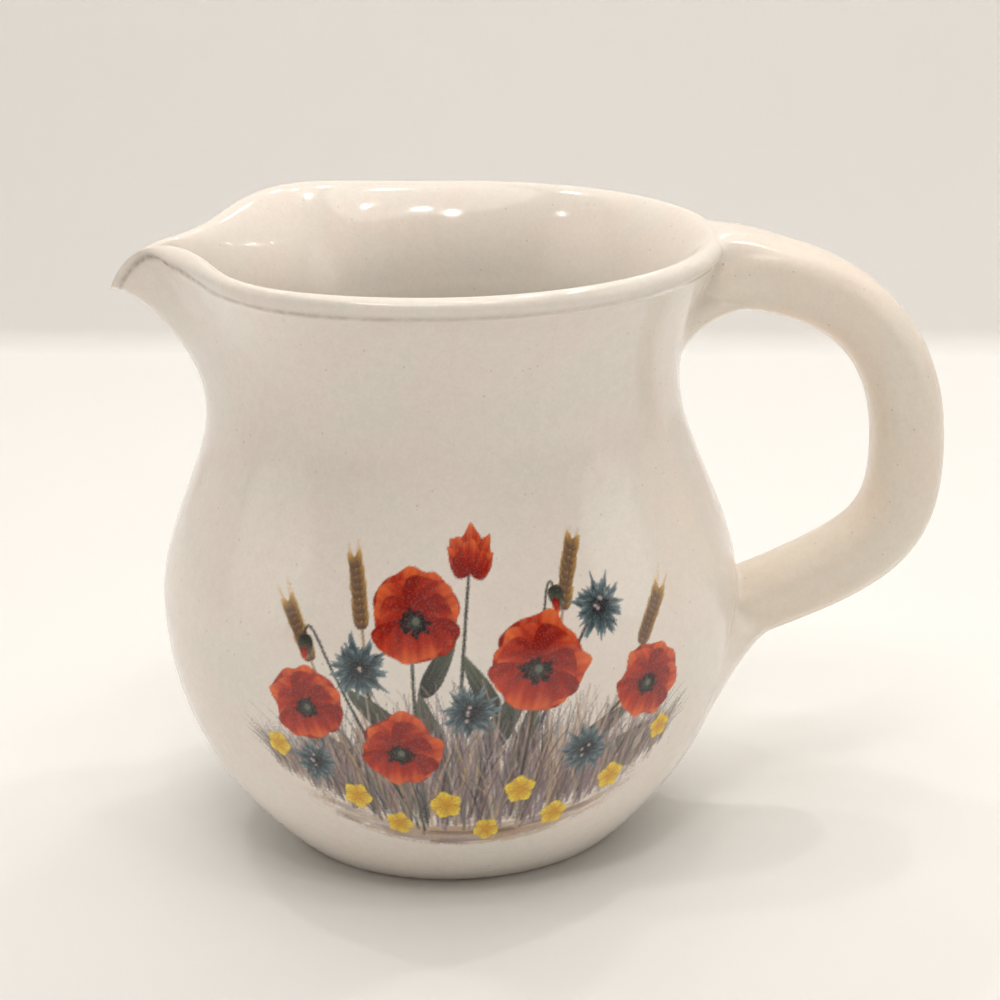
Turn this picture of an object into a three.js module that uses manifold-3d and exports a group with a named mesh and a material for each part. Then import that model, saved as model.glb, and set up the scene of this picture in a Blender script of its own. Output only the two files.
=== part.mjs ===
// A small stoneware cream jug: a thrown body with a pulled spout, a loop handle stuck on with clay
// slip, and a printed picture film on the front of the belly.
// Millimetres, +Z up. The jug turns about Z and stands on Z = 0. The spout points to -X, the handle
// to +X and the picture to -Y.
import * as THREE from 'three';
import { mergeVertices } from 'three/addons/utils/BufferGeometryUtils.js';
import Module from 'manifold-3d';

const wasm = await Module();
wasm.setup();

// Body: radii of the outside, and the heights between them
const FOOT_RADIUS = 26.5;
const BELLY_RADIUS = 45;
const NECK_RADIUS = 36.2;
const LIP_RADIUS = 43;
const FOOT_TO_BELLY = 39.5;
const BELLY_TO_NECK = 33;
const NECK_TO_LIP = 19.2;
const FOOT_FLARE = 1.1;
const LIP_FLARE = 0.42;

// Walls
const WALL = 4.2;
const FLOOR = 5.5;
const LIP_THICKNESS = 3.4;
const LIP_HEIGHT = 3.3;
const LIP_OVERHANG = 1.1;
const LIP_END_ANGLE = 150;
const CAVITY_ROUNDNESS = 0.57;

// Spout, pulled out of the lip by hand, with the lip pinched beside it and raised at its shoulders
const SPOUT_ROOT_DROP = 31;
const SPOUT_PULL = 9;
const SPOUT_PULL_ANGLE = 20.4;
const SPOUT_PULL_CURVE = 1.9;
const SPOUT_DROOP = 7.2;
const SPOUT_DROOP_ANGLE = 11.8;
const SPOUT_DROOP_CURVE = 3.5;
const SPOUT_PINCH = 34;
const SPOUT_PINCH_ANGLE = 40;
const SPOUT_PINCH_CURVE = 2;
const SPOUT_TIP_EASE = 0.4;
const SPOUT_TIP_ANGLE = 12;
const SPOUT_LEAN = 0.25;
const SPOUT_LEAN_ANGLE = 25;
const SPOUT_LIP_THINNING = 1.6;
const SHOULDER_SWELL = 6;
const SHOULDER_SWELL_CURVE = 3;
const SHOULDER_RISE = 1;
const SHOULDER_RISE_CURVE = 4;
const SHOULDER_PLACE = 56.4;
const SHOULDER_ANGLE = 18.4;
const RIM_TILT = 0.42;

// Handle: its centre line leaves the neck, reaches out past the belly and comes back to the belly
const HANDLE_TOP_DROP = 6.4;
const HANDLE_REACH = 26.8;
const HANDLE_GRIP_RISE = 21;
const HANDLE_FOOT_DROP = 5.9;
const HANDLE_TOP_SLOPE = 0.15;
const HANDLE_FOOT_SLOPE = 0.375;
const SHOULDER_FULLNESS = { along: 0.65, down: 0.57 };
const ELBOW_FULLNESS = { along: 0.55, down: 0.67 };
const HANDLE_ROOT_THICKNESS = 10.5;
const HANDLE_GRIP_THICKNESS = 12.1;
const HANDLE_TOP_WIDTH = 17;
const HANDLE_FOOT_WIDTH = 14.5;
const HANDLE_SQUARENESS = 2.6;
const HANDLE_BURIED = 12;

// Slip fillets round the handle's two roots: how far they swell past the handle on each side, how deep
// in from the wall they are fullest, and over what length of the handle they fade
const SLIP_REACH = 12;
const UPPER_SLIP = { inner: 9.8, outer: 0, side: 3, depth: 3, fade: 7 };
const LOWER_SLIP = { inner: 0.8, outer: 9, side: 3.5, depth: 8, fade: 9.5 };

// Picture film on the front
const PICTURE_WIDTH = 71;
const PICTURE_HEIGHT = 53;
const PICTURE_OFFSET = 2.5;
const PICTURE_DROP = 3.5;
const FILM_THICKNESS = 0.3;

// Clearance between pieces that are fired together
const FIT_GAP = 0.3;

// Fineness of the faceted surfaces
const TURN_STEPS = 64;
const WALL_STEPS = 7;
const LIP_STEPS = 8;
const HANDLE_STEPS = 32;
const SLIP_STEPS = 12;
const SECTION_STEPS = 20;
const PICTURE_STEPS = 48;
const SPOUT_CROWDING = 0.35;

const BELLY_HEIGHT = FOOT_TO_BELLY;
const NECK_HEIGHT = BELLY_HEIGHT + BELLY_TO_NECK;
const LIP_ROOT_HEIGHT = NECK_HEIGHT + NECK_TO_LIP;
const RIM_HEIGHT = LIP_ROOT_HEIGHT + LIP_HEIGHT;
const LIP_ROOT_RADIUS = LIP_RADIUS - LIP_OVERHANG;
const LIP_CENTRE_RADIUS = LIP_RADIUS - LIP_THICKNESS / 2;
const SPOUT_DIRECTION = Math.PI;

const GLAZE = { color: 0xe2d8c9, roughness: 0.22, metalness: 0 };
const SLIP_GLAZE = { color: 0xdfd4c4, roughness: 0.25, metalness: 0 };
const PRINT = { color: 0x8f8079, roughness: 0.3, metalness: 0 };

// A cubic from one radius to another over a height, with the slopes given at its two ends
function easedRadius(share, from, to, height, slopeFrom, slopeTo) {
  const rest = 1 - share;
  const ease = share * share * (3 - 2 * share);
  const leave = height * slopeFrom * share * rest * rest;
  const arrive = height * slopeTo * share * share * rest;
  return from + (to - from) * ease + leave - arrive;
}

// Outside radius of the plain turned wall at a height
function wallRadius(z) {
  if (z < BELLY_HEIGHT) {
    return easedRadius(z / FOOT_TO_BELLY, FOOT_RADIUS, BELLY_RADIUS, FOOT_TO_BELLY, FOOT_FLARE, 0);
  }
  if (z < NECK_HEIGHT) {
    return easedRadius((z - BELLY_HEIGHT) / BELLY_TO_NECK, BELLY_RADIUS, NECK_RADIUS, BELLY_TO_NECK, 0, 0);
  }
  const share = (z - NECK_HEIGHT) / NECK_TO_LIP;
  return easedRadius(share, NECK_RADIUS, LIP_ROOT_RADIUS, NECK_TO_LIP, 0, LIP_FLARE);
}

// Points on the outside from the foot's edge up to the groove under the lip
function outsideOutline() {
  const outline = [];
  const stretches = [[0, FOOT_TO_BELLY], [BELLY_HEIGHT, BELLY_TO_NECK], [NECK_HEIGHT, NECK_TO_LIP]];
  for (const [start, height] of stretches) {
    for (let step = 0; step < WALL_STEPS; step += 1) {
      const z = start + (height * step) / WALL_STEPS;
      outline.push(new THREE.Vector2(wallRadius(z), z));
    }
  }
  return outline;
}

// The rolled lip, round from the groove under it, over the rim and a little way down inside
function lipOutline(endAngle) {
  const startAngle = -Math.acos((LIP_ROOT_RADIUS - LIP_CENTRE_RADIUS) / (LIP_THICKNESS / 2));
  const halfHeight = LIP_HEIGHT / (1 - Math.sin(startAngle));
  const centreHeight = RIM_HEIGHT - halfHeight;
  const lip = new THREE.EllipseCurve(
    LIP_CENTRE_RADIUS, centreHeight, LIP_THICKNESS / 2, halfHeight, startAngle, endAngle,
  );
  return lip.getPoints(LIP_STEPS);
}

// The inside, from the rim down the neck and belly to the middle of the floor
function insideOutline(rimPoint) {
  const neck = new THREE.Vector2(NECK_RADIUS - WALL, NECK_HEIGHT);
  const belly = new THREE.Vector2(BELLY_RADIUS - WALL, BELLY_HEIGHT);
  const floorEdge = new THREE.Vector2(FOOT_RADIUS - 2 * WALL, FLOOR);
  const mouthDepth = rimPoint.y - neck.y;
  const cavity = new THREE.CurvePath();
  cavity.add(new THREE.CubicBezierCurve(
    rimPoint,
    new THREE.Vector2(rimPoint.x - LIP_FLARE * mouthDepth / 3, rimPoint.y - mouthDepth / 3),
    new THREE.Vector2(neck.x, neck.y + mouthDepth / 3),
    neck,
  ));
  cavity.add(new THREE.CubicBezierCurve(
    neck,
    new THREE.Vector2(neck.x, neck.y - BELLY_TO_NECK / 3),
    new THREE.Vector2(belly.x, belly.y + BELLY_TO_NECK / 3),
    belly,
  ));
  cavity.add(new THREE.CubicBezierCurve(
    belly,
    new THREE.Vector2(belly.x, belly.y - (belly.y - FLOOR) * CAVITY_ROUNDNESS),
    new THREE.Vector2(floorEdge.x + (belly.x - floorEdge.x) * CAVITY_ROUNDNESS, FLOOR),
    floorEdge,
  ));
  const outline = cavity.getPoints(WALL_STEPS).slice(1);
  return [...outline, new THREE.Vector2(0, FLOOR)];
}

// Bell-shaped weight that is 1 in the middle and fades over a width
function bell(distance, width) {
  return Math.exp(-((distance / width) ** 2));
}

// Where a point of the turned wall ends up once the spout is pulled. The turn is measured from the
// spout, and a point is moved as one with the wall round it, so the wall keeps its thickness.
function pulledPoint(radius, turn, z) {
  const degrees = THREE.MathUtils.radToDeg(turn);
  const lift = Math.max(0, (z - RIM_HEIGHT + SPOUT_ROOT_DROP) / SPOUT_ROOT_DROP);
  const lipShare = THREE.MathUtils.clamp((z - LIP_ROOT_HEIGHT) / LIP_HEIGHT, 0, 1);
  const shoulder = bell(Math.abs(degrees) - SHOULDER_PLACE, SHOULDER_ANGLE);
  const swelled = radius + SHOULDER_SWELL * lift ** SHOULDER_SWELL_CURVE * shoulder;
  const reach = SPOUT_PULL * lift ** SPOUT_PULL_CURVE - SPOUT_LIP_THINNING * lipShare;
  const along = swelled * Math.cos(turn) + reach * bell(degrees, SPOUT_PULL_ANGLE);
  const tipEase = 1 - SPOUT_TIP_EASE * bell(degrees, SPOUT_TIP_ANGLE);
  const pinch = SPOUT_PINCH * lift ** SPOUT_PINCH_CURVE * bell(degrees, SPOUT_PINCH_ANGLE) * tipEase;
  const across = (swelled - pinch) * Math.sin(turn);
  const droop = SPOUT_DROOP * lift ** SPOUT_DROOP_CURVE * bell(degrees, SPOUT_DROOP_ANGLE);
  const rise = SHOULDER_RISE * lift ** SHOULDER_RISE_CURVE * shoulder;
  const lean = SPOUT_LEAN * across * lift ** SPOUT_PINCH_CURVE * bell(degrees, SPOUT_LEAN_ANGLE);
  const tilt = RIM_TILT * lift ** SPOUT_PINCH_CURVE * Math.cos(turn);
  const place = new THREE.Vector3(along, across, z - droop + rise + lean + tilt);
  return place.applyAxisAngle(new THREE.Vector3(0, 0, 1), SPOUT_DIRECTION);
}

// Turns an outline about Z and pulls the spout out of it. The steps crowd together at the spout.
function turnedGeometry(outline) {
  const geometry = new THREE.LatheGeometry(outline, TURN_STEPS, -Math.PI, 2 * Math.PI);
  const position = geometry.getAttribute('position');
  for (let index = 0; index < position.count; index += 1) {
    const radius = Math.hypot(position.getX(index), position.getZ(index));
    const z = position.getY(index);
    if (radius < FIT_GAP / 100) {
      position.setXYZ(index, 0, 0, z);
      continue;
    }
    const share = Math.atan2(position.getX(index), position.getZ(index)) / Math.PI;
    const turn = Math.PI * ((1 - SPOUT_CROWDING) * share + SPOUT_CROWDING * share ** 3);
    const place = pulledPoint(radius, turn, z);
    position.setXYZ(index, place.x, place.y, place.z);
  }
  return geometry;
}

// Six times the volume inside a triangle list, negative where its faces point in
function signedVolume(vertices, triangles) {
  const corner = [new THREE.Vector3(), new THREE.Vector3(), new THREE.Vector3()];
  let total = 0;
  for (let index = 0; index < triangles.length; index += 3) {
    corner.forEach((point, side) => point.fromArray(vertices, 3 * triangles[index + side]));
    total += corner[0].dot(corner[1].clone().cross(corner[2]));
  }
  return total;
}

// A closed geometry as a solid, with shared corners merged and its faces pointing out
function solidOf(geometry) {
  const bare = new THREE.BufferGeometry();
  bare.setAttribute('position', geometry.getAttribute('position'));
  bare.setIndex(geometry.getIndex());
  const merged = mergeVertices(bare);
  const vertices = new Float32Array(merged.getAttribute('position').array);
  const corners = merged.getIndex().array;
  let triangles = [];
  for (let index = 0; index < corners.length; index += 3) {
    const [a, b, c] = corners.slice(index, index + 3);
    if (a !== b && b !== c && c !== a) {
      triangles.push(a, b, c);
    }
  }
  if (signedVolume(vertices, triangles) < 0) {
    triangles = triangles.reverse();
  }
  const triVerts = new Uint32Array(triangles);
  return new wasm.Manifold(new wasm.Mesh({ numProp: 3, vertProperties: vertices, triVerts }));
}

function meshOf(name, solid, finish) {
  const shape = solid.getMesh();
  const geometry = new THREE.BufferGeometry();
  geometry.setAttribute('position', new THREE.BufferAttribute(new Float32Array(shape.vertProperties), 3));
  geometry.setIndex(new THREE.BufferAttribute(new Uint32Array(shape.triVerts), 1));
  geometry.computeVertexNormals();
  const mesh = new THREE.Mesh(geometry, new THREE.MeshStandardMaterial(finish));
  mesh.name = name;
  return mesh;
}

// Moves every point of an outline square to it. The ends stay on the axis.
function offsetOutline(outline, distance) {
  return outline.map((point, index) => {
    if (index === 0 || index === outline.length - 1) {
      return new THREE.Vector2(0, point.y + (index === 0 ? -distance : distance));
    }
    const before = point.clone().sub(outline[index - 1]).normalize();
    const after = outline[index + 1].clone().sub(point).normalize();
    const along = before.add(after).normalize();
    return new THREE.Vector2(point.x + along.y * distance, point.y - along.x * distance);
  });
}

function bodySolid() {
  const lip = lipOutline(THREE.MathUtils.degToRad(LIP_END_ANGLE));
  const rimPoint = lip[lip.length - 1];
  const outline = [new THREE.Vector2(0, 0), ...outsideOutline(), ...lip, ...insideOutline(rimPoint)];
  return solidOf(turnedGeometry(outline));
}

// The body with its hollow filled in, grown all round by a distance
function filledBody(distance) {
  const lip = lipOutline(Math.PI / 2);
  const outline = [new THREE.Vector2(0, 0), ...outsideOutline(), ...lip, new THREE.Vector2(0, RIM_HEIGHT)];
  return solidOf(turnedGeometry(offsetOutline(outline, distance)));
}

// The handle's centre line in the XZ plane, buried in the wall at both ends
function handleLine() {
  const topHeight = RIM_HEIGHT - HANDLE_TOP_DROP;
  const gripHeight = BELLY_HEIGHT + HANDLE_GRIP_RISE;
  const footHeight = BELLY_HEIGHT - HANDLE_FOOT_DROP;
  const top = new THREE.Vector3(wallRadius(topHeight), 0, topHeight);
  const grip = new THREE.Vector3(BELLY_RADIUS + HANDLE_REACH, 0, gripHeight);
  const foot = new THREE.Vector3(wallRadius(footHeight), 0, footHeight);
  const shoulderRun = SHOULDER_FULLNESS.along * (grip.x - top.x);
  const shoulderDrop = SHOULDER_FULLNESS.down * (top.z - grip.z);
  const elbowDrop = ELBOW_FULLNESS.down * (grip.z - foot.z);
  const elbowRun = ELBOW_FULLNESS.along * (grip.x - foot.x);
  const line = new THREE.CurvePath();
  line.add(new THREE.LineCurve3(new THREE.Vector3(top.x - HANDLE_BURIED, 0, top.z), top));
  line.add(new THREE.CubicBezierCurve3(
    top,
    new THREE.Vector3(top.x + shoulderRun, 0, top.z - HANDLE_TOP_SLOPE * shoulderRun),
    new THREE.Vector3(grip.x, 0, grip.z + shoulderDrop),
    grip,
  ));
  line.add(new THREE.CubicBezierCurve3(
    grip,
    new THREE.Vector3(grip.x, 0, grip.z - elbowDrop),
    new THREE.Vector3(foot.x + elbowRun, 0, foot.z + HANDLE_FOOT_SLOPE * elbowRun),
    foot,
  ));
  const inward = new THREE.Vector3(-1, 0, -HANDLE_FOOT_SLOPE).setLength(HANDLE_BURIED);
  line.add(new THREE.LineCurve3(foot, foot.clone().add(inward)));
  return line;
}

// One rounded-square section across the handle's line. The outer side faces away from the fingers.
function sectionPoints(line, share, size) {
  const centre = line.getPointAt(share);
  const along = line.getTangentAt(share);
  const outward = new THREE.Vector3(-along.z, 0, along.x);
  const points = [];
  for (let step = 0; step < SECTION_STEPS; step += 1) {
    const angle = (2 * Math.PI * step) / SECTION_STEPS;
    const high = Math.sign(Math.cos(angle)) * Math.abs(Math.cos(angle)) ** (2 / HANDLE_SQUARENESS);
    const wide = Math.sign(Math.sin(angle)) * Math.abs(Math.sin(angle)) ** (2 / HANDLE_SQUARENESS);
    const reach = high > 0 ? size.outer : size.inner;
    points.push(new THREE.Vector3(centre.x + outward.x * high * reach, wide * size.side,
      centre.z + outward.z * high * reach));
  }
  return points;
}

// Skins a row of sections and closes its two ends
function loftedSolid(sections) {
  const count = SECTION_STEPS;
  const points = sections.flat();
  const triangles = [];
  for (let row = 0; row + 1 < sections.length; row += 1) {
    for (let step = 0; step < count; step += 1) {
      const a = row * count + step;
      const b = row * count + (step + 1) % count;
      triangles.push(a, b, b + count, a, b + count, a + count);
    }
  }
  const last = (sections.length - 1) * count;
  for (let step = 1; step + 1 < count; step += 1) {
    triangles.push(0, step + 1, step);
    triangles.push(last, last + step, last + step + 1);
  }
  const geometry = new THREE.BufferGeometry().setFromPoints(points);
  geometry.setIndex(triangles);
  return solidOf(geometry);
}

// Half sizes of the handle's section at a share of its length, grown by a distance
function handleSize(share, distance) {
  const swell = Math.sin(Math.PI * share);
  const thickness = THREE.MathUtils.lerp(HANDLE_ROOT_THICKNESS, HANDLE_GRIP_THICKNESS, swell);
  const width = THREE.MathUtils.lerp(HANDLE_TOP_WIDTH, HANDLE_FOOT_WIDTH, share);
  const half = thickness / 2 + distance;
  return { outer: half, inner: half, side: width / 2 + distance };
}

function handleLoft(line, distance) {
  const sections = [];
  for (let step = 0; step <= HANDLE_STEPS; step += 1) {
    const share = step / HANDLE_STEPS;
    sections.push(sectionPoints(line, share, handleSize(share, distance)));
  }
  return loftedSolid(sections);
}

// The fillet of slip round one root: the handle's section flared towards the wall. The distance runs
// along the handle's line, from the end buried in the wall.
function slipLoft(line, flare, distanceToShare) {
  const sections = [];
  for (let step = 0; step <= SLIP_STEPS; step += 1) {
    const distance = (HANDLE_BURIED + SLIP_REACH) * step / SLIP_STEPS;
    const share = distanceToShare(distance);
    const spread = bell(distance - HANDLE_BURIED + flare.depth, flare.fade);
    const size = handleSize(share, 0);
    size.outer += flare.outer * spread;
    size.inner += flare.inner * spread;
    size.side += flare.side * spread;
    sections.push(sectionPoints(line, share, size));
  }
  return loftedSolid(sections);
}

// An upright oval through the front of the belly, for cutting the picture out of a skin
function pictureCutter() {
  const centreHeight = BELLY_HEIGHT - PICTURE_DROP;
  const oval = new THREE.Shape();
  const halfWidth = PICTURE_WIDTH / 2;
  const halfHeight = PICTURE_HEIGHT / 2;
  oval.absellipse(PICTURE_OFFSET, centreHeight, halfWidth, halfHeight, 0, 2 * Math.PI, false, 0);
  const depth = 2 * BELLY_RADIUS;
  const geometry = new THREE.ExtrudeGeometry(oval, {
    depth, steps: 1, bevelEnabled: false, curveSegments: PICTURE_STEPS,
  });
  geometry.rotateX(Math.PI / 2);
  geometry.translate(0, -FOOT_RADIUS / 2, 0);
  return solidOf(geometry);
}

function pictureSolid() {
  const skin = filledBody(FIT_GAP + FILM_THICKNESS).subtract(filledBody(FIT_GAP));
  return skin.intersect(pictureCutter());
}

const line = handleLine();
const lineLength = line.getLength();
const socket = filledBody(FIT_GAP);
const handleClearance = handleLoft(line, FIT_GAP);
const upperSlip = slipLoft(line, UPPER_SLIP, (distance) => distance / lineLength);
const lowerSlip = slipLoft(line, LOWER_SLIP, (distance) => 1 - distance / lineLength);

const jug = new THREE.Group();
jug.add(meshOf('body', bodySolid(), GLAZE));
jug.add(meshOf('handle', handleLoft(line, 0).subtract(socket), GLAZE));
jug.add(meshOf('upper_slip_joint', upperSlip.subtract(handleClearance).subtract(socket), SLIP_GLAZE));
jug.add(meshOf('lower_slip_joint', lowerSlip.subtract(handleClearance).subtract(socket), SLIP_GLAZE));
jug.add(meshOf('picture_transfer', pictureSolid(), PRINT));

export default jug;
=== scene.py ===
# Looks of a small stoneware cream jug: glazed body, handle, slip fillets and a printed picture film.
# Shapes are worked out in millimetres in the part's frame: +Z up, the spout at -X, the handle at +X and
# the picture at -Y. Meshes, lamps and the camera are in metres.
import math

import bpy
import numpy as np
from mathutils import Matrix, Vector


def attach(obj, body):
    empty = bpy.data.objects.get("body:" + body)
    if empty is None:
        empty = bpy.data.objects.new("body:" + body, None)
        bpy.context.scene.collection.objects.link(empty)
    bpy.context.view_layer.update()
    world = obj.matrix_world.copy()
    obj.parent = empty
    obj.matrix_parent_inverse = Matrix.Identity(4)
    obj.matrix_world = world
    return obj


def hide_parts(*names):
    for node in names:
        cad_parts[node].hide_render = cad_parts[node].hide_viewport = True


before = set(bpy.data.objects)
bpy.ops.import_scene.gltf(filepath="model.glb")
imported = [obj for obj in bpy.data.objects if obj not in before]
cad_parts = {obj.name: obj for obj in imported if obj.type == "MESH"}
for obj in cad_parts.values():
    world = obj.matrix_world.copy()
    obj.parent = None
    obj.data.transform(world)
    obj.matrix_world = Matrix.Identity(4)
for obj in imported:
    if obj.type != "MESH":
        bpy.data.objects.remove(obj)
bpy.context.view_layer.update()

MM = 0.001
TINY = 1e-12

# The CAD solids are faceted, so their box is a little smaller than that of the true curves
FACET_SHARE = 0.9994

# Body: radii of the outside and the heights between them
FOOT_RADIUS = 26.5
BELLY_RADIUS = 45.0
NECK_RADIUS = 36.2
LIP_RADIUS = 43.0
FOOT_TO_BELLY = 39.5
BELLY_TO_NECK = 33.0
NECK_TO_LIP = 19.2
FOOT_FLARE = 1.1
FOOT_EDGE = 0.9
LIP_FLARE = 0.42

# Walls
WALL = 4.2
FLOOR = 5.5
LIP_THICKNESS = 3.4
LIP_HEIGHT = 3.3
LIP_OVERHANG = 1.1
RIM_ROUNDING = 2.5
RIM_FLARE_DEPTH = 9.5
CAVITY_ROUNDNESS = 0.57

# Spout, pulled out of the lip, with the lip pinched beside it and raised at its shoulders
SPOUT_ROOT_DROP = 31.0
SPOUT_PULL = 9.0
SPOUT_PULL_ANGLE = 20.4
SPOUT_PULL_CURVE = 1.9
SPOUT_DROOP = 7.2
SPOUT_DROOP_ANGLE = 11.8
SPOUT_DROOP_CURVE = 3.5
SPOUT_PINCH = 34.0
SPOUT_PINCH_ANGLE = 40.0
SPOUT_PINCH_CURVE = 2.0
SPOUT_TIP_EASE = 0.4
SPOUT_TIP_ANGLE = 12.0
SPOUT_LEAN = 0.25
SPOUT_LEAN_ANGLE = 25.0
SPOUT_LIP_THINNING = 0.75
BEAK_THINNING = 0.93
BEAK_ANGLES = (14.0, 28.0)
BEAK_BLEND = 9.0
SHOULDER_SWELL = 6.0
SHOULDER_SWELL_CURVE = 3.0
SHOULDER_RISE = 1.0
SHOULDER_RISE_CURVE = 4.0
SHOULDER_PLACE = 56.4
SHOULDER_ANGLE = 18.4
RIM_TILT = 0.42

# Handle
HANDLE_TOP_DROP = 6.4
HANDLE_REACH = 26.8
HANDLE_GRIP_RISE = 21.0
HANDLE_FOOT_DROP = 5.9
HANDLE_TOP_SLOPE = 0.04
HANDLE_FOOT_SLOPE = 0.375
SHOULDER_FULLNESS = (0.73, 0.53)
ELBOW_FULLNESS = (0.81, 0.59)
HANDLE_ROOT_THICKNESS = 10.1
HANDLE_GRIP_THICKNESS = 11.3
HANDLE_TOP_WIDTH = 17.0
HANDLE_FOOT_WIDTH = 14.5
HANDLE_SQUARENESS = 2.3
HANDLE_ROOT_SQUARENESS = 3.6
SQUARENESS_FADE = (0.08, 0.4)
HANDLE_BURIED = 12.0

# Slip fillets: how far each runs along the handle and along the wall, and how full its curve is at the
# handle and at the wall, on the handle's outer side, its flanks and its inner side. The turns are cosines
# of the section's angle, between which the outer and inner sides fade into the flanks.
UPPER_FILLET = {
    "outer": (12.0, 2.4, 0.55, 1.6), "outer_turn": (0.2, 0.75),
    "side": (0.7, 0.5, 0.6, 0.6),
    "inner": (9.5, 8.5, 0.45, 0.45), "inner_turn": (0.1, 0.8),
}
LOWER_FILLET = {
    "outer": (7.0, 14.5, 0.5, 0.42), "outer_turn": (-0.35, 0.45),
    "side": (0.7, 0.5, 0.6, 0.6),
    "inner": (0.9, 0.9, 0.6, 0.6), "inner_turn": (0.1, 0.8),
}
FILLET_DIP = 0.04
SKIRT_LENGTH = 0.8
SKIRT_DEPTH = 0.7
SLEEVE_GAP = 0.2
PLUG_GAP = 0.4
ROOT_DEPTH = 1.2
SEAT_SHARES = (0, 0.35, 0.7, 0.93)
PLUG_START = 0.1
NORMAL_BLEND = (0.8, 1.0)

# Picture film on the front
PICTURE_WIDTH = 71.0
PICTURE_HEIGHT = 53.0
PICTURE_OFFSET = 2.5
PICTURE_DROP = 3.5
FILM_LIFT = 0.05
FILM_DIP = 0.03
FILM_DEPTH = 0.15
FILM_EDGE = 1.5

# Fineness of the surfaces
TURN_STEPS = 288
WALL_STEPS = 34
LIP_STEPS = 30
RIM_STEPS = 34
CAVITY_STEPS = 20
FLOOR_STEPS = 6
SPOUT_CROWDING = 0.35
SECTION_STEPS = 72
HANDLE_STEPS = 130
FILLET_STEPS = 30
OUTLINE_STEPS = 400
FILM_COLUMNS = 361
FILM_ROWS = 261
FILM_BACK_STEP = 20
SKIN_STEP = 0.02
LINE_STEP = 0.3
TANGENT_STEP = 0.2
MEETING_SEARCH = (-8.0, 14.0)
MEETING_HALVINGS = 40

# Painted shade inside, and a mark in the glaze: the depths between which the inside is painted darker as
# painted shade deep in the jug, and the brown line under the lip. The line rises towards the spout, is
# fainter away from it and fades at the spout's tip.
INSIDE_SHADE_DEPTHS = (5.0, 24.0)
GROOVE_RISE = 0.5
GROOVE_SPOUT_RISE = 0.7
GROOVE_SPOUT_ANGLE = 45.0
GROOVE_HALF_WIDTH = 0.44
GROOVE_ANGLE = 62.0
GROOVE_FAINT = 0.3
GROOVE_TIP_ANGLE = 15.0
GROOVE_TIP_FADE = 0.55

BELLY_HEIGHT = FOOT_TO_BELLY
NECK_HEIGHT = BELLY_HEIGHT + BELLY_TO_NECK
LIP_ROOT_HEIGHT = NECK_HEIGHT + NECK_TO_LIP
RIM_HEIGHT = LIP_ROOT_HEIGHT + LIP_HEIGHT
LIP_ROOT_RADIUS = LIP_RADIUS - LIP_OVERHANG
LIP_CENTRE_RADIUS = LIP_RADIUS - LIP_THICKNESS / 2
LIP_START_ANGLE = -math.acos((LIP_ROOT_RADIUS - LIP_CENTRE_RADIUS) / (LIP_THICKNESS / 2))
LIP_HALF_HEIGHT = LIP_HEIGHT / (1 - math.sin(LIP_START_ANGLE))
LIP_CENTRE_HEIGHT = RIM_HEIGHT - LIP_HALF_HEIGHT


# Shape of the body

def bell(distance, width):
    """A weight that is 1 in the middle and fades over a width."""
    return np.exp(-((distance / width) ** 2))


def between(start, end, share):
    """A value at a share of the way from a start to an end."""
    return start + (end - start) * share


def eased_radius(share, start, end, height, slope_start, slope_end):
    """A cubic from one radius to another over a height, with the slopes given at its two ends."""
    rest = 1 - share
    ease = share * share * (3 - 2 * share)
    leave = height * slope_start * share * rest * rest
    arrive = height * slope_end * share * share * rest
    return between(start, end, ease) + leave - arrive


def wall_radius(z):
    """Outside radius of the plain turned wall at a height."""
    z = np.asarray(z, float)
    low = np.clip(z / FOOT_TO_BELLY, 0, 1)
    middle = np.clip((z - BELLY_HEIGHT) / BELLY_TO_NECK, 0, 1)
    high = np.clip((z - NECK_HEIGHT) / NECK_TO_LIP, 0, 1)
    belly = eased_radius(low, FOOT_RADIUS, BELLY_RADIUS, FOOT_TO_BELLY, FOOT_FLARE, 0)
    waist = eased_radius(middle, BELLY_RADIUS, NECK_RADIUS, BELLY_TO_NECK, 0, 0)
    throat = eased_radius(high, NECK_RADIUS, LIP_ROOT_RADIUS, NECK_TO_LIP, 0, LIP_FLARE)
    return np.where(z < BELLY_HEIGHT, belly, np.where(z < NECK_HEIGHT, waist, throat))


def skin_radius(z):
    """Outside radius with the rolled lip on top of the wall."""
    across = np.clip((z - LIP_CENTRE_HEIGHT) / LIP_HALF_HEIGHT, -1, 1)
    lip = LIP_CENTRE_RADIUS + LIP_THICKNESS / 2 * np.sqrt(1 - across**2)
    return np.where(z < LIP_ROOT_HEIGHT, wall_radius(z), lip)


def cubic(share, points):
    """Places at shares of the way along a curve with four control points."""
    rest = 1 - share
    a, b, c, d = (np.asarray(point, float) for point in points)
    return rest**3 * a + 3 * rest**2 * share * b + 3 * rest * share**2 * c + share**3 * d


def bezier(points, steps):
    """Points along a cubic, one row of the result for each step."""
    return cubic(np.linspace(0, 1, steps + 1)[:, None], points)


def foot_outline(steps):
    """The rounded edge between the base and the wall."""
    start = (FOOT_RADIUS - FOOT_EDGE, 0)
    corner = (FOOT_RADIUS, 0)
    end = (float(wall_radius(FOOT_EDGE)), FOOT_EDGE)
    return bezier((start, corner, corner, end), steps)


def lip_outline(steps):
    """The rolled lip, from the groove under it up to the crest of the rim."""
    angle = np.linspace(LIP_START_ANGLE, np.pi / 2, steps + 1)
    radius = LIP_CENTRE_RADIUS + LIP_THICKNESS / 2 * np.cos(angle)
    return np.stack([radius, LIP_CENTRE_HEIGHT + LIP_HALF_HEIGHT * np.sin(angle)], 1)


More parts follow.
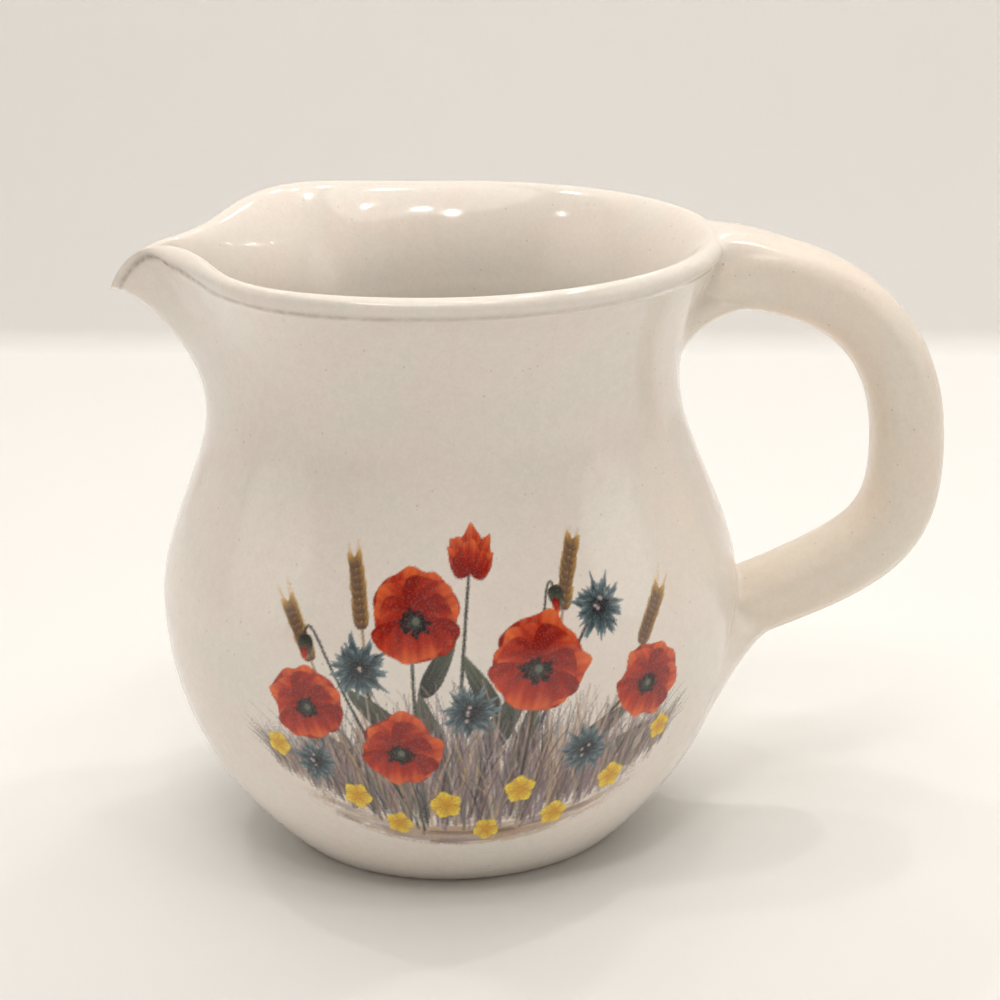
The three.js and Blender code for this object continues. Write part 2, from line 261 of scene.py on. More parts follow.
def outside_outline(wall_steps, lip_steps):
    """Radius and height from the base's edge up the wall and the lip to the crest."""
    stretches = [foot_outline(LIP_STEPS // 4)]
    heights = (FOOT_EDGE, BELLY_HEIGHT, NECK_HEIGHT, LIP_ROOT_HEIGHT)
    for start, end in zip(heights, heights[1:]):
        z = np.linspace(start, end, wall_steps + 1)[1:]
        stretches.append(np.stack([wall_radius(z), z], 1))
    stretches.append(lip_outline(lip_steps)[1:])
    return np.concatenate(stretches)


def inside_outline():
    """From the crest down the flared rim, the neck and the belly to the middle of the floor."""
    rim = np.array([LIP_CENTRE_RADIUS, RIM_HEIGHT])
    neck = np.array([NECK_RADIUS - WALL, NECK_HEIGHT])
    belly = np.array([BELLY_RADIUS - WALL, BELLY_HEIGHT])
    floor_edge = np.array([FOOT_RADIUS - 2 * WALL, FLOOR])
    waist = BELLY_TO_NECK / 3
    drop = (belly[1] - FLOOR) * CAVITY_ROUNDNESS
    run = (belly[0] - floor_edge[0]) * CAVITY_ROUNDNESS
    stretches = [
        bezier((rim, rim - [RIM_ROUNDING, 0], [neck[0], RIM_HEIGHT - RIM_FLARE_DEPTH], neck), RIM_STEPS)[1:],
        bezier((neck, neck - [0, waist], belly + [0, waist], belly), CAVITY_STEPS)[1:],
        bezier((belly, belly - [0, drop], floor_edge + [run, 0], floor_edge), CAVITY_STEPS)[1:],
        np.stack([np.linspace(floor_edge[0], 0, FLOOR_STEPS + 1)[1:], np.full(FLOOR_STEPS, FLOOR)], 1),
    ]
    return np.concatenate(stretches)


def lift_at(z):
    """How much of the spout's pull reaches a height: 0 at the spout's root, 1 at the rim."""
    return np.maximum(0, (z - RIM_HEIGHT + SPOUT_ROOT_DROP) / SPOUT_ROOT_DROP)


def ramp(low, high, value):
    """How far a value is on its way from one to another."""
    return (value - low) / (high - low)


def smooth(low, high, value):
    """A weight that eases from 0 at one value to 1 at another."""
    share = np.clip(ramp(low, high, value), 0, 1)
    return share * share * (3 - 2 * share)


def thinned_beak(radius, degrees, z):
    """Draws the rolled lip up to a thin edge at the spout's tip. The inside stays as it is."""
    skin_share = smooth(-WALL / 2, 0, radius - skin_radius(z))
    near_lip = smooth(LIP_ROOT_HEIGHT - BEAK_BLEND, LIP_ROOT_HEIGHT, z)
    near_tip = 1 - smooth(*BEAK_ANGLES, np.abs(degrees))
    share = BEAK_THINNING * skin_share * near_lip * near_tip
    return radius - share * np.maximum(radius - LIP_ROOT_RADIUS, 0), z + share * (RIM_HEIGHT - z)


def pulled(radius, turn, z):
    """Where a point of the turned wall ends up once the spout is pulled. The turn starts at the spout."""
    degrees = np.degrees(turn)
    radius, z = thinned_beak(radius, degrees, z)
    lift = lift_at(z)
    lip_share = np.clip((z - LIP_ROOT_HEIGHT) / LIP_HEIGHT, 0, 1)
    shoulder = bell(np.abs(degrees) - SHOULDER_PLACE, SHOULDER_ANGLE)
    swelled = radius + SHOULDER_SWELL * lift**SHOULDER_SWELL_CURVE * shoulder
    reach = SPOUT_PULL * lift**SPOUT_PULL_CURVE - SPOUT_LIP_THINNING * lip_share
    along = swelled * np.cos(turn) + reach * bell(degrees, SPOUT_PULL_ANGLE)
    tip_ease = 1 - SPOUT_TIP_EASE * bell(degrees, SPOUT_TIP_ANGLE)
    pinch = SPOUT_PINCH * lift**SPOUT_PINCH_CURVE * bell(degrees, SPOUT_PINCH_ANGLE) * tip_ease
    across = (swelled - pinch) * np.sin(turn)
    droop = SPOUT_DROOP * lift**SPOUT_DROOP_CURVE * bell(degrees, SPOUT_DROOP_ANGLE)
    rise = SHOULDER_RISE * lift**SHOULDER_RISE_CURVE * shoulder
    lean = SPOUT_LEAN * across * lift**SPOUT_PINCH_CURVE * bell(degrees, SPOUT_LEAN_ANGLE)
    tilt = RIM_TILT * lift**SPOUT_PINCH_CURVE * np.cos(turn)
    return np.stack([-along, -across, z - droop + rise + lean + tilt], -1)


# Meshes

def add_object(name, data):
    added = bpy.data.objects.new(name, data)
    bpy.context.scene.collection.objects.link(added)
    return added


def add_mesh(name, points, faces):
    """A smooth mesh object from points in millimetres."""
    mesh = bpy.data.meshes.new(name)
    mesh.from_pydata((np.asarray(points) * MM * FACET_SHARE).tolist(), [], faces)
    mesh.polygons.foreach_set("use_smooth", np.ones(len(mesh.polygons), bool))
    mesh.update()
    return add_object(name, mesh)


def ring_faces(rows, columns, close_rows=False):
    """Quads of a grid whose columns run round in a ring, and its rows too where asked."""
    faces = []
    for row in range(rows if close_rows else rows - 1):
        following = (row + 1) % rows
        for column in range(columns):
            beside = (column + 1) % columns
            faces.append((row * columns + column, row * columns + beside,
                          following * columns + beside, following * columns + column))
    return faces


def fan_faces(ring, tip, columns, flip):
    """Triangles from a ring that starts at an index to a single point."""
    turns = [(column, (column + 1) % columns) for column in range(columns)]
    return [(ring + turn[flip], ring + turn[not flip], tip) for turn in turns]


def set_point_values(piece, name, values):
    """A number for each point of a mesh, for its material to read."""
    attribute = piece.data.attributes.new(name, "FLOAT", "POINT")
    attribute.data.foreach_set("value", np.asarray(values, np.float32).ravel())


def lip_line(rings, degrees):
    """How strong the brown line is at each point of the body's rings."""
    heights = thinned_beak(rings[:, :1], degrees, rings[:, 1:])[1]
    rise = GROOVE_RISE + GROOVE_SPOUT_RISE * bell(degrees, GROOVE_SPOUT_ANGLE)
    line_heights = thinned_beak(LIP_ROOT_RADIUS, degrees, LIP_ROOT_HEIGHT + rise)[1]
    strength = between(GROOVE_FAINT, 1, bell(degrees, GROOVE_ANGLE))
    strength *= 1 - GROOVE_TIP_FADE * bell(degrees, GROOVE_TIP_ANGLE)
    return strength * bell(heights - line_heights, GROOVE_HALF_WIDTH)


def add_body():
    outside = outside_outline(WALL_STEPS, LIP_STEPS)
    rings = np.concatenate([outside, inside_outline()])[:-1]
    share = np.linspace(-1, 1, TURN_STEPS, endpoint=False)
    turn = np.pi * ((1 - SPOUT_CROWDING) * share + SPOUT_CROWDING * share**3)
    grid = pulled(rings[:, :1], turn[None, :], rings[:, 1:])
    base_tip = len(rings) * TURN_STEPS
    points = np.concatenate([grid.reshape(-1, 3), [[0, 0, 0], [0, 0, FLOOR]]])
    faces = ring_faces(len(rings), TURN_STEPS)
    faces += fan_faces(0, base_tip, TURN_STEPS, True)
    faces += fan_faces(base_tip - TURN_STEPS, base_tip + 1, TURN_STEPS, False)
    body = add_mesh("glazed_body", points, faces)
    on_skin = np.arange(len(rings)) < len(outside)
    groove = lip_line(rings, np.degrees(turn)) * on_skin[:, None]
    # Painted shade: a weight that grows with depth inside the jug, by which the material paints the inside
    # darker and greyer
    inside = smooth(*INSIDE_SHADE_DEPTHS, np.where(on_skin, 0, RIM_HEIGHT - rings[:, 1]))
    bare = rings[:, 1] < FOOT_EDGE / 2
    set_point_values(body, "inside", np.append(np.repeat(inside, TURN_STEPS), [0, 1]))
    set_point_values(body, "groove", np.append(groove, [0, 0]))
    set_point_values(body, "bare", np.append(np.repeat(bare, TURN_STEPS), [1, 0]))
    return body


# The body's outside as a surface of two numbers: the angle round from the handle and the length up the wall

def lengths_along(points):
    return np.append(0, np.cumsum(np.linalg.norm(np.diff(points, axis=0), axis=1)))


SKIN_OUTLINE = np.concatenate([outside_outline(OUTLINE_STEPS, OUTLINE_STEPS), inside_outline()[:RIM_STEPS]])
SKIN_LENGTH = lengths_along(SKIN_OUTLINE)
CREST = int(np.argmax(SKIN_OUTLINE[:, 1]))


def skin(angle, length):
    radius = np.interp(length, SKIN_LENGTH, SKIN_OUTLINE[:, 0])
    z = np.interp(length, SKIN_LENGTH, SKIN_OUTLINE[:, 1])
    turn = (angle + 2 * np.pi) % (2 * np.pi) - np.pi
    return pulled(radius, turn, z)


def skin_normal(angle, length):
    turn = SKIN_STEP / BELLY_RADIUS
    round_ = skin(angle + turn, length) - skin(angle - turn, length)
    up = skin(angle, length + SKIN_STEP) - skin(angle, length - SKIN_STEP)
    return unit(np.cross(round_, up))


def unit(vectors):
    return vectors / np.maximum(np.linalg.norm(vectors, axis=-1, keepdims=True), TINY)


# Handle

def handle_line():
    """The handle's centre line in the XZ plane, buried in the wall at both ends."""
    top_height = RIM_HEIGHT - HANDLE_TOP_DROP
    foot_height = BELLY_HEIGHT - HANDLE_FOOT_DROP
    top = np.array([wall_radius(top_height), top_height])
    grip = np.array([BELLY_RADIUS + HANDLE_REACH, BELLY_HEIGHT + HANDLE_GRIP_RISE])
    foot = np.array([wall_radius(foot_height), foot_height])
    shoulder_run, shoulder_drop = SHOULDER_FULLNESS * np.abs(grip - top)
    elbow_run, elbow_drop = ELBOW_FULLNESS * np.abs(grip - foot)
    leave = np.array([1, -HANDLE_TOP_SLOPE])
    arrive = np.array([1, HANDLE_FOOT_SLOPE])
    shoulder = (top, top + shoulder_run * leave, grip + [0, shoulder_drop], grip)
    elbow = (grip, grip - [0, elbow_drop], foot + elbow_run * arrive, foot)
    share = np.linspace(0, 1, OUTLINE_STEPS // 4)[:, None]
    return np.concatenate([
        top - (1 - share) * [HANDLE_BURIED, 0],
        bezier(shoulder, OUTLINE_STEPS)[1:],
        bezier(elbow, OUTLINE_STEPS)[1:],
        (foot - share * HANDLE_BURIED * unit(arrive))[1:],
    ])


LINE = handle_line()
LINE_LENGTHS = lengths_along(LINE)
LINE_LENGTH = LINE_LENGTHS[-1]
SECTION_ANGLES = 2 * np.pi * np.arange(SECTION_STEPS) / SECTION_STEPS


def line_at(length):
    return np.stack([np.interp(length, LINE_LENGTHS, LINE[:, axis]) for axis in (0, 1)], -1)


def signed_power(value, power):
    return np.sign(value) * np.abs(value) ** power


def rail(length, angle, grow=0.0):
    """A point on the handle's skin: a length along its line and an angle round its rounded-square section."""
    centre = line_at(length)
    along = unit(line_at(length + LINE_STEP) - line_at(length - LINE_STEP))
    share = np.clip(length / LINE_LENGTH, 0, 1)
    thickness = between(HANDLE_ROOT_THICKNESS, HANDLE_GRIP_THICKNESS, np.sin(np.pi * share))
    width = between(HANDLE_TOP_WIDTH, HANDLE_FOOT_WIDTH, share)
    squareness = between(HANDLE_ROOT_SQUARENESS, HANDLE_SQUARENESS, smooth(*SQUARENESS_FADE, share))
    high = signed_power(np.cos(angle), 2 / squareness) * (thickness / 2 + grow)
    wide = signed_power(np.sin(angle), 2 / squareness) * (width / 2 + grow)
    return np.stack([centre[..., 0] - along[..., 1] * high, wide, centre[..., 1] + along[..., 0] * high], -1)


def root_rail(at_top, distance, angle, grow=0.0):
    """A rail point at a distance outwards from one root."""
    if at_top:
        return rail(HANDLE_BURIED + distance, angle, grow)
    return rail(LINE_LENGTH - HANDLE_BURIED - distance, angle, grow)


def unpulled_height(points):
    """Height on the turned wall of a point on the handle's side, where the rim's tilt alone has moved it."""
    angle = np.arctan2(points[..., 1], points[..., 0])
    return points[..., 2] + RIM_TILT * lift_at(points[..., 2]) ** SPOUT_PINCH_CURVE * np.cos(angle)


def meeting_distance(at_top):
    """How far out from the root each rail leaves the body's skin."""
    low, high = (np.full(SECTION_STEPS, bound) for bound in MEETING_SEARCH)
    for _ in range(MEETING_HALVINGS):
        middle = (low + high) / 2
        points = root_rail(at_top, middle, SECTION_ANGLES)
        outside = np.hypot(points[:, 0], points[:, 1]) > skin_radius(unpulled_height(points))
        high = np.where(outside, middle, high)
        low = np.where(outside, low, middle)
    return (low + high) / 2


def by_side(sizes, index):
    """One of a fillet's sizes for each section angle, blended from its outer, flank and inner values."""
    outer = smooth(*sizes["outer_turn"], np.cos(SECTION_ANGLES))
    inner = (1 - outer) * smooth(*sizes["inner_turn"], -np.cos(SECTION_ANGLES))
    flank = 1 - outer - inner
    return outer * sizes["outer"][index] + inner * sizes["inner"][index] + flank * sizes["side"][index]


def grid_normals(grid):
    """Normals of a grid whose second direction runs round in a ring."""
    along = np.gradient(grid, axis=0)
    round_ = np.roll(grid, -1, axis=1) - np.roll(grid, 1, axis=1)
    return unit(np.cross(along, round_))


def fillet_skin(at_top, sizes):
    """Rows of points from the handle's skin to the body's, their normals, and where they leave the handle."""
    meet = meeting_distance(at_top)
    points = root_rail(at_top, meet, SECTION_ANGLES)
    angle = np.arctan2(points[:, 1], points[:, 0])
    length = np.interp(unpulled_height(points), SKIN_OUTLINE[:CREST + 1, 1], SKIN_LENGTH[:CREST + 1])
    radius = np.hypot(points[:, 0], points[:, 1])
    loop = np.stack([angle * radius, length], 1)
    tangent = np.roll(loop, -1, axis=0) - np.roll(loop, 1, axis=0)
    away = unit(np.stack([tangent[:, 1], -tangent[:, 0]], 1))
    away *= np.sign(np.sum(away * (loop - loop.mean(0)), 1, keepdims=True))

    def on_body(distance):
        return angle + distance * away[:, 0] / radius, length + distance * away[:, 1]

    on_handle, on_wall, handle_fullness, wall_fullness = (by_side(sizes, index) for index in range(4))
    leave = meet + on_handle
    normal = skin_normal(*on_body(on_wall))
    start = root_rail(at_top, leave, SECTION_ANGLES)
    end = skin(*on_body(on_wall)) - FILLET_DIP * normal
    inward = unit(root_rail(at_top, leave - TANGENT_STEP, SECTION_ANGLES) - start)
    towards = unit(skin(*on_body(on_wall - TANGENT_STEP)) - skin(*on_body(on_wall)))
    start_arm = start + inward * (handle_fullness * np.linalg.norm(points - start, axis=1))[:, None]
    end_arm = end + towards * (wall_fullness * np.linalg.norm(points - end, axis=1))[:, None]
    share = np.linspace(0, 1, FILLET_STEPS + 1)[:, None, None]
    rows = cubic(share, (start, start_arm, end_arm, end))
    normals = grid_normals(rows)
    normals *= np.sign(np.sum(normals[-1] * normal))
    normals = unit(between(normals, normal, smooth(*NORMAL_BLEND, share)))
    under = on_body(on_wall + SKIRT_LENGTH)
    skirt = skin(*under) - SKIRT_DEPTH * skin_normal(*under)
    return {"rows": rows, "normals": normals, "skirt": skirt, "meet": meet, "leave": leave}


def set_normals(piece, normals):
    """Sets the smooth normals of the first points of a mesh; the rest keep their own."""
    every = np.zeros((len(piece.data.vertices), 3))
    every[:len(normals)] = normals
    piece.data.normals_split_custom_set_from_vertices(every.tolist())


def add_fillet(name, at_top, skin_rows):
    """A closed sleeve of slip: its skin, a skirt sunk in the wall, and the seat round the handle."""
    root = skin_rows["meet"] - ROOT_DEPTH
    distances = [between(root, skin_rows["leave"], share) for share in SEAT_SHARES]
    seat = [root_rail(at_top, distance, SECTION_ANGLES, -SLEEVE_GAP) for distance in distances]
    grid = np.concatenate([skin_rows["rows"], skin_rows["skirt"][None], seat])
    faces = ring_faces(len(grid), SECTION_STEPS, True)
    if not at_top:
        faces = [face[::-1] for face in faces]
    piece = add_mesh(name, grid.reshape(-1, 3), faces)
    set_normals(piece, skin_rows["normals"].reshape(-1, 3))
    slip = np.ones(len(grid))
    slip[:FILLET_STEPS + 2] = np.append(np.linspace(1, 0, FILLET_STEPS + 1), 0)
    set_point_values(piece, "slip", np.repeat(slip, SECTION_STEPS))
    return piece


def add_handle(upper, lower):
    """The handle between its two fillets, with a plug at each end that runs into the wall."""
    start = HANDLE_BURIED + upper["leave"]
    end = LINE_LENGTH - HANDLE_BURIED - lower["leave"]
    upper_root = HANDLE_BURIED + upper["meet"] - ROOT_DEPTH / 2
    lower_root = LINE_LENGTH - HANDLE_BURIED - lower["meet"] + ROOT_DEPTH / 2
    share = np.linspace(0, 1, HANDLE_STEPS + 1)[:, None]
    rows = rail(between(start, end, share), SECTION_ANGLES[None, :])
    middle = rows[HANDLE_STEPS // 2]
    normals = grid_normals(rows)
    normals *= np.sign(np.sum(normals[HANDLE_STEPS // 2] * (middle - middle.mean(0))))
    lower_start = between(end, lower_root, PLUG_START)
    upper_start = between(start, upper_root, PLUG_START)
    lengths = (lower_start, lower_root, upper_root, upper_start)
    plugs = [rail(length, SECTION_ANGLES, -PLUG_GAP) for length in lengths]
    grid = np.concatenate([rows, plugs])
    points = np.concatenate([grid.reshape(-1, 3), [plugs[1].mean(0), plugs[2].mean(0)]])
    faces = ring_faces(len(grid), SECTION_STEPS, True)
    lower_end = (HANDLE_STEPS + 2) * SECTION_STEPS
    upper_end = lower_end + SECTION_STEPS
    del faces[lower_end:upper_end]
    faces += fan_faces(lower_end, len(points) - 2, SECTION_STEPS, False)
    faces += fan_faces(upper_end, len(points) - 1, SECTION_STEPS, True)
    piece = add_mesh("glazed_handle", points, [face[::-1] for face in faces])
    set_normals(piece, normals.reshape(-1, 3))
    set_point_values(piece, "slip", np.ones(len(points)))
    return piece


# Film on the belly

def film_grid():
    """Places of a grid drawn out into the film's oval, and how near each is to the oval's edge."""
    a = np.linspace(-1, 1, FILM_COLUMNS)[None, :]
    b = np.linspace(-1, 1, FILM_ROWS)[:, None]
    across = a * np.sqrt(1 - b**2 / 2)
    up = b * np.sqrt(1 - a**2 / 2)
    x = PICTURE_OFFSET + across * PICTURE_WIDTH / 2
    z = BELLY_HEIGHT - PICTURE_DROP + up * PICTURE_HEIGHT / 2
    inside = np.clip((1 - np.hypot(across, up)) * PICTURE_HEIGHT / 2 / FILM_EDGE, 0, 1)
    return x, z, inside


def on_belly(x, z, lift):
    """Points in front of the belly's wall by a lift."""
    radius = wall_radius(z) + lift
    return np.stack([x, -np.sqrt(radius**2 - x**2), z], -1)


def back_faces(back_index):
    """Coarse faces behind the film that share its fine edge."""
    faces = []
    for row in range(0, FILM_ROWS - 1, FILM_BACK_STEP):
        for column in range(0, FILM_COLUMNS - 1, FILM_BACK_STEP):
            low, high = row, row + FILM_BACK_STEP
            left, right = column, column + FILM_BACK_STEP
            below = range(left, right) if low == 0 else (left,)
            after = range(low, high) if right == FILM_COLUMNS - 1 else (low,)
            above = range(right, left, -1) if high == FILM_ROWS - 1 else (right,)
            before = range(high, low, -1) if left == 0 else (high,)
            corners = [(low, place) for place in below] + [(place, right) for place in after]
            corners += [(high, place) for place in above] + [(place, left) for place in before]
            faces.append([back_index[corner] for corner in reversed(corners)])
    return faces


def add_film():
    """The printed film: a thin lens on the belly, whose edge dips under the glaze."""
    x, z, inside = film_grid()
    front = on_belly(x, z, FILM_LIFT * inside - FILM_DIP * (1 - inside))
    index = np.arange(FILM_ROWS * FILM_COLUMNS).reshape(FILM_ROWS, FILM_COLUMNS)
    quads = np.stack([index[:-1, :-1], index[:-1, 1:], index[1:, 1:], index[1:, :-1]], -1).reshape(-1, 4)
    rows = np.arange(FILM_BACK_STEP, FILM_ROWS - 1, FILM_BACK_STEP)
    columns = np.arange(FILM_BACK_STEP, FILM_COLUMNS - 1, FILM_BACK_STEP)
    inner = np.ix_(rows, columns)
    back = on_belly(x[inner], z[inner], -FILM_DEPTH).reshape(-1, 3)
    back_index = index.copy()
    back_index[inner] = index.size + np.arange(len(back)).reshape(len(rows), len(columns))
    points = np.concatenate([front.reshape(-1, 3), back])
    film = add_mesh("picture_film", points, quads.tolist() + back_faces(back_index))
    around = BELLY_RADIUS * np.arcsin(x / wall_radius(z))
    across = MEADOW_MIDDLE + (around - MEADOW_MIDDLE) / PICTURE_GROWTH
    up = MEADOW_FOOT + (z - MEADOW_FOOT) / PICTURE_GROWTH
    painted = painted_picture().sample(across, up) * inside[..., None]
    colours = np.zeros((len(points), 4), np.float32)
    colours[:index.size] = painted.reshape(-1, 4)
    attribute = film.data.attributes.new("ink", "FLOAT_COLOR", "POINT")
    attribute.data.foreach_set("color", colours.ravel())
    return film


# Picture on the film: a meadow of poppies, cornflowers, buttercups and wheat, painted with a seeded brush

# Sizes of the grid of paint in millimetres, and the margin in cells that keeps each place inside four cells
PICTURE_SEED = 11
PICTURE_CELL = 0.1
PICTURE_MARGIN = 1.001
BRUSH_EDGE = 0.16
PICTURE_REACH = 47.0
PICTURE_LOW = 7.0
PICTURE_HIGH = 65.0
PICTURE_GROWTH = 1.07
MEADOW_MIDDLE = 3.0
MEADOW_FOOT = 12.0

# Places in the picture, in millimetres round the belly from its front and up from the table
WHEAT = (
    ((-15, 22), (-23.5, 46.5), (-16, 36)),
    ((-11, 22), (-14, 53.0), (-10.5, 40)),
    ((12, 22), (19.0, 54.0), (13, 42)),
    ((21, 22), (32.0, 45.0), (24, 36)),
)
STEMS = (
    ((-5, 18), (-5.5, 46)), ((4, 18), (11, 40)), ((-10, 18), (-19.5, 34)), ((14, 18), (27, 34)),
    ((0, 18), (3.0, 53)), ((-3, 18), (-7, 28)), ((8, 18), (21, 46)), ((-8, 18), (-13, 40)),
)
LEAVES = (
    ((-6, 29), 138, 12), ((4, 27), 60, 13), ((-13, 25), 152, 11), ((16, 25), 32, 12), ((-2, 24), 102, 13),
    ((9, 24), 78, 12), ((20, 23), 22, 11), ((-17, 24), 168, 9), ((6, 33), 118, 10), ((-4, 36), 62, 10),
)
BUDS = (((9, 20), (13.5, 54), (15, 49.5)), ((-8, 20), (-20.5, 50), (-20.8, 43.5)))
CUP_POPPIES = (((3.0, 52.0), 7.2, -6),)
CORNFLOWERS = (
    ((21.5, 45.8), 8.0), ((-12.8, 39.6), 8.4), ((2.2, 33.6), 8.0), ((19.0, 25.6), 7.4), ((-20.5, 24.6), 6.6),
)
POPPIES = (
    ((-5.0, 46.0), 13.0, 10), ((11.5, 38.8), 14.0, -12), ((-20.8, 33.0), 11.5, 22), ((28.8, 33.2), 11.5, -20),
    ((-7.6, 27.2), 11.5, 0),
)
BUTTERCUPS = (
    ((-26.5, 26.4), 3.8), ((-15.0, 19.6), 4.4), ((-9.2, 15.0), 4.2), ((-1.6, 18.6), 4.8), ((4.6, 13.6), 4.2),
    ((9.4, 20.6), 4.6), ((15.6, 15.2), 4.4), ((24.4, 19.8), 4.4), ((32.5, 25.6), 3.8),
)


def ink(red, green, blue):
    """A colour given as a screen shows it, as the light it reflects."""
    shown = np.array([red, green, blue]) / 255
    return np.where(shown < 0.04045, shown / 12.92, ((shown + 0.055) / 1.055) ** 2.4)


BLACK = ink(30, 25, 28)
DARK_RED = ink(146, 28, 18)
RED = ink(216, 66, 36)
ORANGE = ink(246, 132, 66)
DARK_SLATE = ink(50, 56, 66)
SLATE = ink(98, 120, 128)
PALE_SLATE = ink(166, 184, 186)
DARK_LEAF = ink(56, 58, 52)
LEAF = ink(108, 114, 98)
MAUVE = ink(142, 122, 130)
PALE_MAUVE = ink(196, 180, 178)
BROWN = ink(112, 88, 76)
TAN = ink(200, 170, 138)
GOLD = ink(222, 170, 84)
STRAW = ink(244, 214, 150)
YELLOW = ink(252, 222, 74)
DARK_YELLOW = ink(220, 160, 44)
POPPY_INKS = (DARK_RED, RED, ORANGE)

# Petals: the waves across them that ripple their end and make their veins, where along them the tones change,
# and their dark edge
PETAL_MARGIN = 1.2
PETAL_BLUNTNESS = 0.7
RIPPLE_WAVES = (4.1, 9.7)
FINE_RIPPLE = 0.6
VEIN_WAVES = (13, 31)
VEIN_DEPTHS = (0.16, 0.08)
VEIN_FAN = 0.45
MIDDLE_TONE = (0.2, 1.0)
END_TONE = (0.65625, 1.28125)
SIDE_SHADE = 0.2
EDGE_SHADE = 0.62
EDGE_WIDTH = 0.55

# Flowers: turns and steps between turns in degrees, the rest as shares of a flower's size. The petals of a
# poppy, seen from above and from the side, have a turn, a length and a width.
OPEN_PETALS = (
    (75, 0.62, 0.95), (140, 0.56, 0.8), (15, 0.58, 0.85), (205, 0.5, 0.75), (-40, 0.5, 0.75),
    (-95, 0.46, 0.95),
)
CUP_PETALS = (
    (90, 0.82, 0.75), (60, 0.74, 0.6), (120, 0.74, 0.6), (42, 0.6, 0.5), (138, 0.6, 0.5), (88, 0.58, 0.72),
)
PETAL_INSET = 0.05
HEART_SHAPE = (1, 0.8)
RAYS = {"step": 45, "sway": 12, "reach": (0.12, 0.19)}
RAY_WIDTHS = np.array((0.1, 0.03))
STAMENS = {"step": 24, "sway": 8, "reach": (0.1, 0.15)}
STAMEN_SIZE = 0.022
SEED_HEAD_SIZE = 0.075
SHINE_SIZE = 0.04
SHINE_PLACE = 0.015
FLORET = {"colours": (BLACK, SLATE, PALE_SLATE), "ripple": 0.16}
FLORET_RINGS = ((0, 0.52), (17, 0.4))
FLORET_STEP = 33
FLORET_SWAY = 7
FLORET_VARIETY = (0.85, 1.1)
FLORET_WIDTH = 0.23
HEART_DOTS = 14
HEART_SCATTER = 0.07
HEART_DOT_SIZE = 0.03
HEART_DARK_SHARE = 0.7
BUTTERCUP = {"colours": (DARK_YELLOW, YELLOW, YELLOW), "ripple": 0.03, "fullest": 1.25}
BUTTERCUP_STEP = 72
BUTTERCUP_LENGTH = 0.52
BUTTERCUP_WIDTH = 0.5
BUTTERCUP_HEART = 0.1

# Stems, leaves, buds and wheat: lengths in millimetres or as shares of the whole, angles in radians
STEM = {"widths": (0.6, 0.42), "colour": DARK_LEAF, "strength": 0.9}
STEM_BEND = (0.25, 0.6)
LEAF_BLADE = {"colours": (DARK_LEAF, LEAF, LEAF), "ripple": 0.03}
LEAF_WIDTH = 0.28
LEAF_RIB = {"widths": (0.22, 0.08), "colour": DARK_LEAF, "strength": 0.7}
LEAF_RIB_LENGTH = 0.9
BUD_STEM = {"widths": (0.5, 0.32), "colour": DARK_LEAF, "strength": 0.9}
BUD_CASE = {"length": 3.4, "width": 2.3, "colours": (DARK_LEAF, LEAF, PALE_MAUVE), "ripple": 0}
BUD_PETAL = {"length": 2.1, "width": 1.2, "colours": POPPY_INKS}
BUD_PETAL_PLACE = (-0.1, -1.6)
BUD_ANGLE = math.radians(-80)
STALK = {"widths": (0.5, 0.35), "colour": between(TAN, BROWN, 0.25)}
GRAIN = {"length": 2.5, "width": 1.25, "colours": (BROWN, GOLD, STRAW), "ripple": 0}
GRAIN_PAIRS = 9
GRAIN_SPACING = 0.034
GRAIN_TURN = math.radians(26)
GRAIN_SWAY = math.radians(5)
EAR_TIP = 0.02
AWN = {"widths": (0.14, 0.06), "colour": GOLD, "strength": 0.75, "steps": 6}
AWN_LENGTH = 5.5
AWN_TURN = 0.2

# Soil and grass, in millimetres, and the share of each ink in the soil and in the far and the near grass
EARTH_STROKES = 260
EARTH_HALF_WIDTH = 27
EARTH_HEIGHT = 12.4
EARTH_RISE = 6.5
EARTH_SCATTER = 1.1
EARTH_RUN = (2, 6)
EARTH_RUN_END = 1.2
EARTH_SLOPE = 0.4
EARTH_BOW = 0.3
EARTH_WIDTHS = (0.9, 0.2)
EARTH_STRENGTH = 0.55
EARTH_STRENGTH_END = 1.1
EARTH_INKS = (TAN, MAUVE, PALE_MAUVE, BROWN)
EARTH_SHARES = (0.5, 0.2, 0.2, 0.1)
GRASS_BLADES = 1500
GRASS_HALF_WIDTH = 31
GRASS_HEIGHT = 13.6
GRASS_RISE = 10
GRASS_DEPTH = 9
GRASS_SCATTER = 0.7
GRASS_INKS = (MAUVE, PALE_MAUVE, BROWN, LEAF, DARK_SLATE, TAN)
FAR_SHARES = np.array((0.3, 0.34, 0.16, 0.12, 0.04, 0.12))
NEAR_SHARES = np.array((0.3, 0.0, 0.16, 0.12, 0.18, 0.12))
BLADE = {"widths": (0.42, 0.12), "steps": 9}
BLADE_SHORTEST = 4.5
BLADE_GROWTH = 9
BLADE_NEAR_LOSS = 0.45
BLADE_VARIETY = (0.6, 1.25)
BLADE_SWAY = 2.2
BLADE_BEND = (0.2, 0.6)
BLADE_STRENGTH = (0.45, 0.85)
BLADE_SIDE_STRENGTH = 0.35


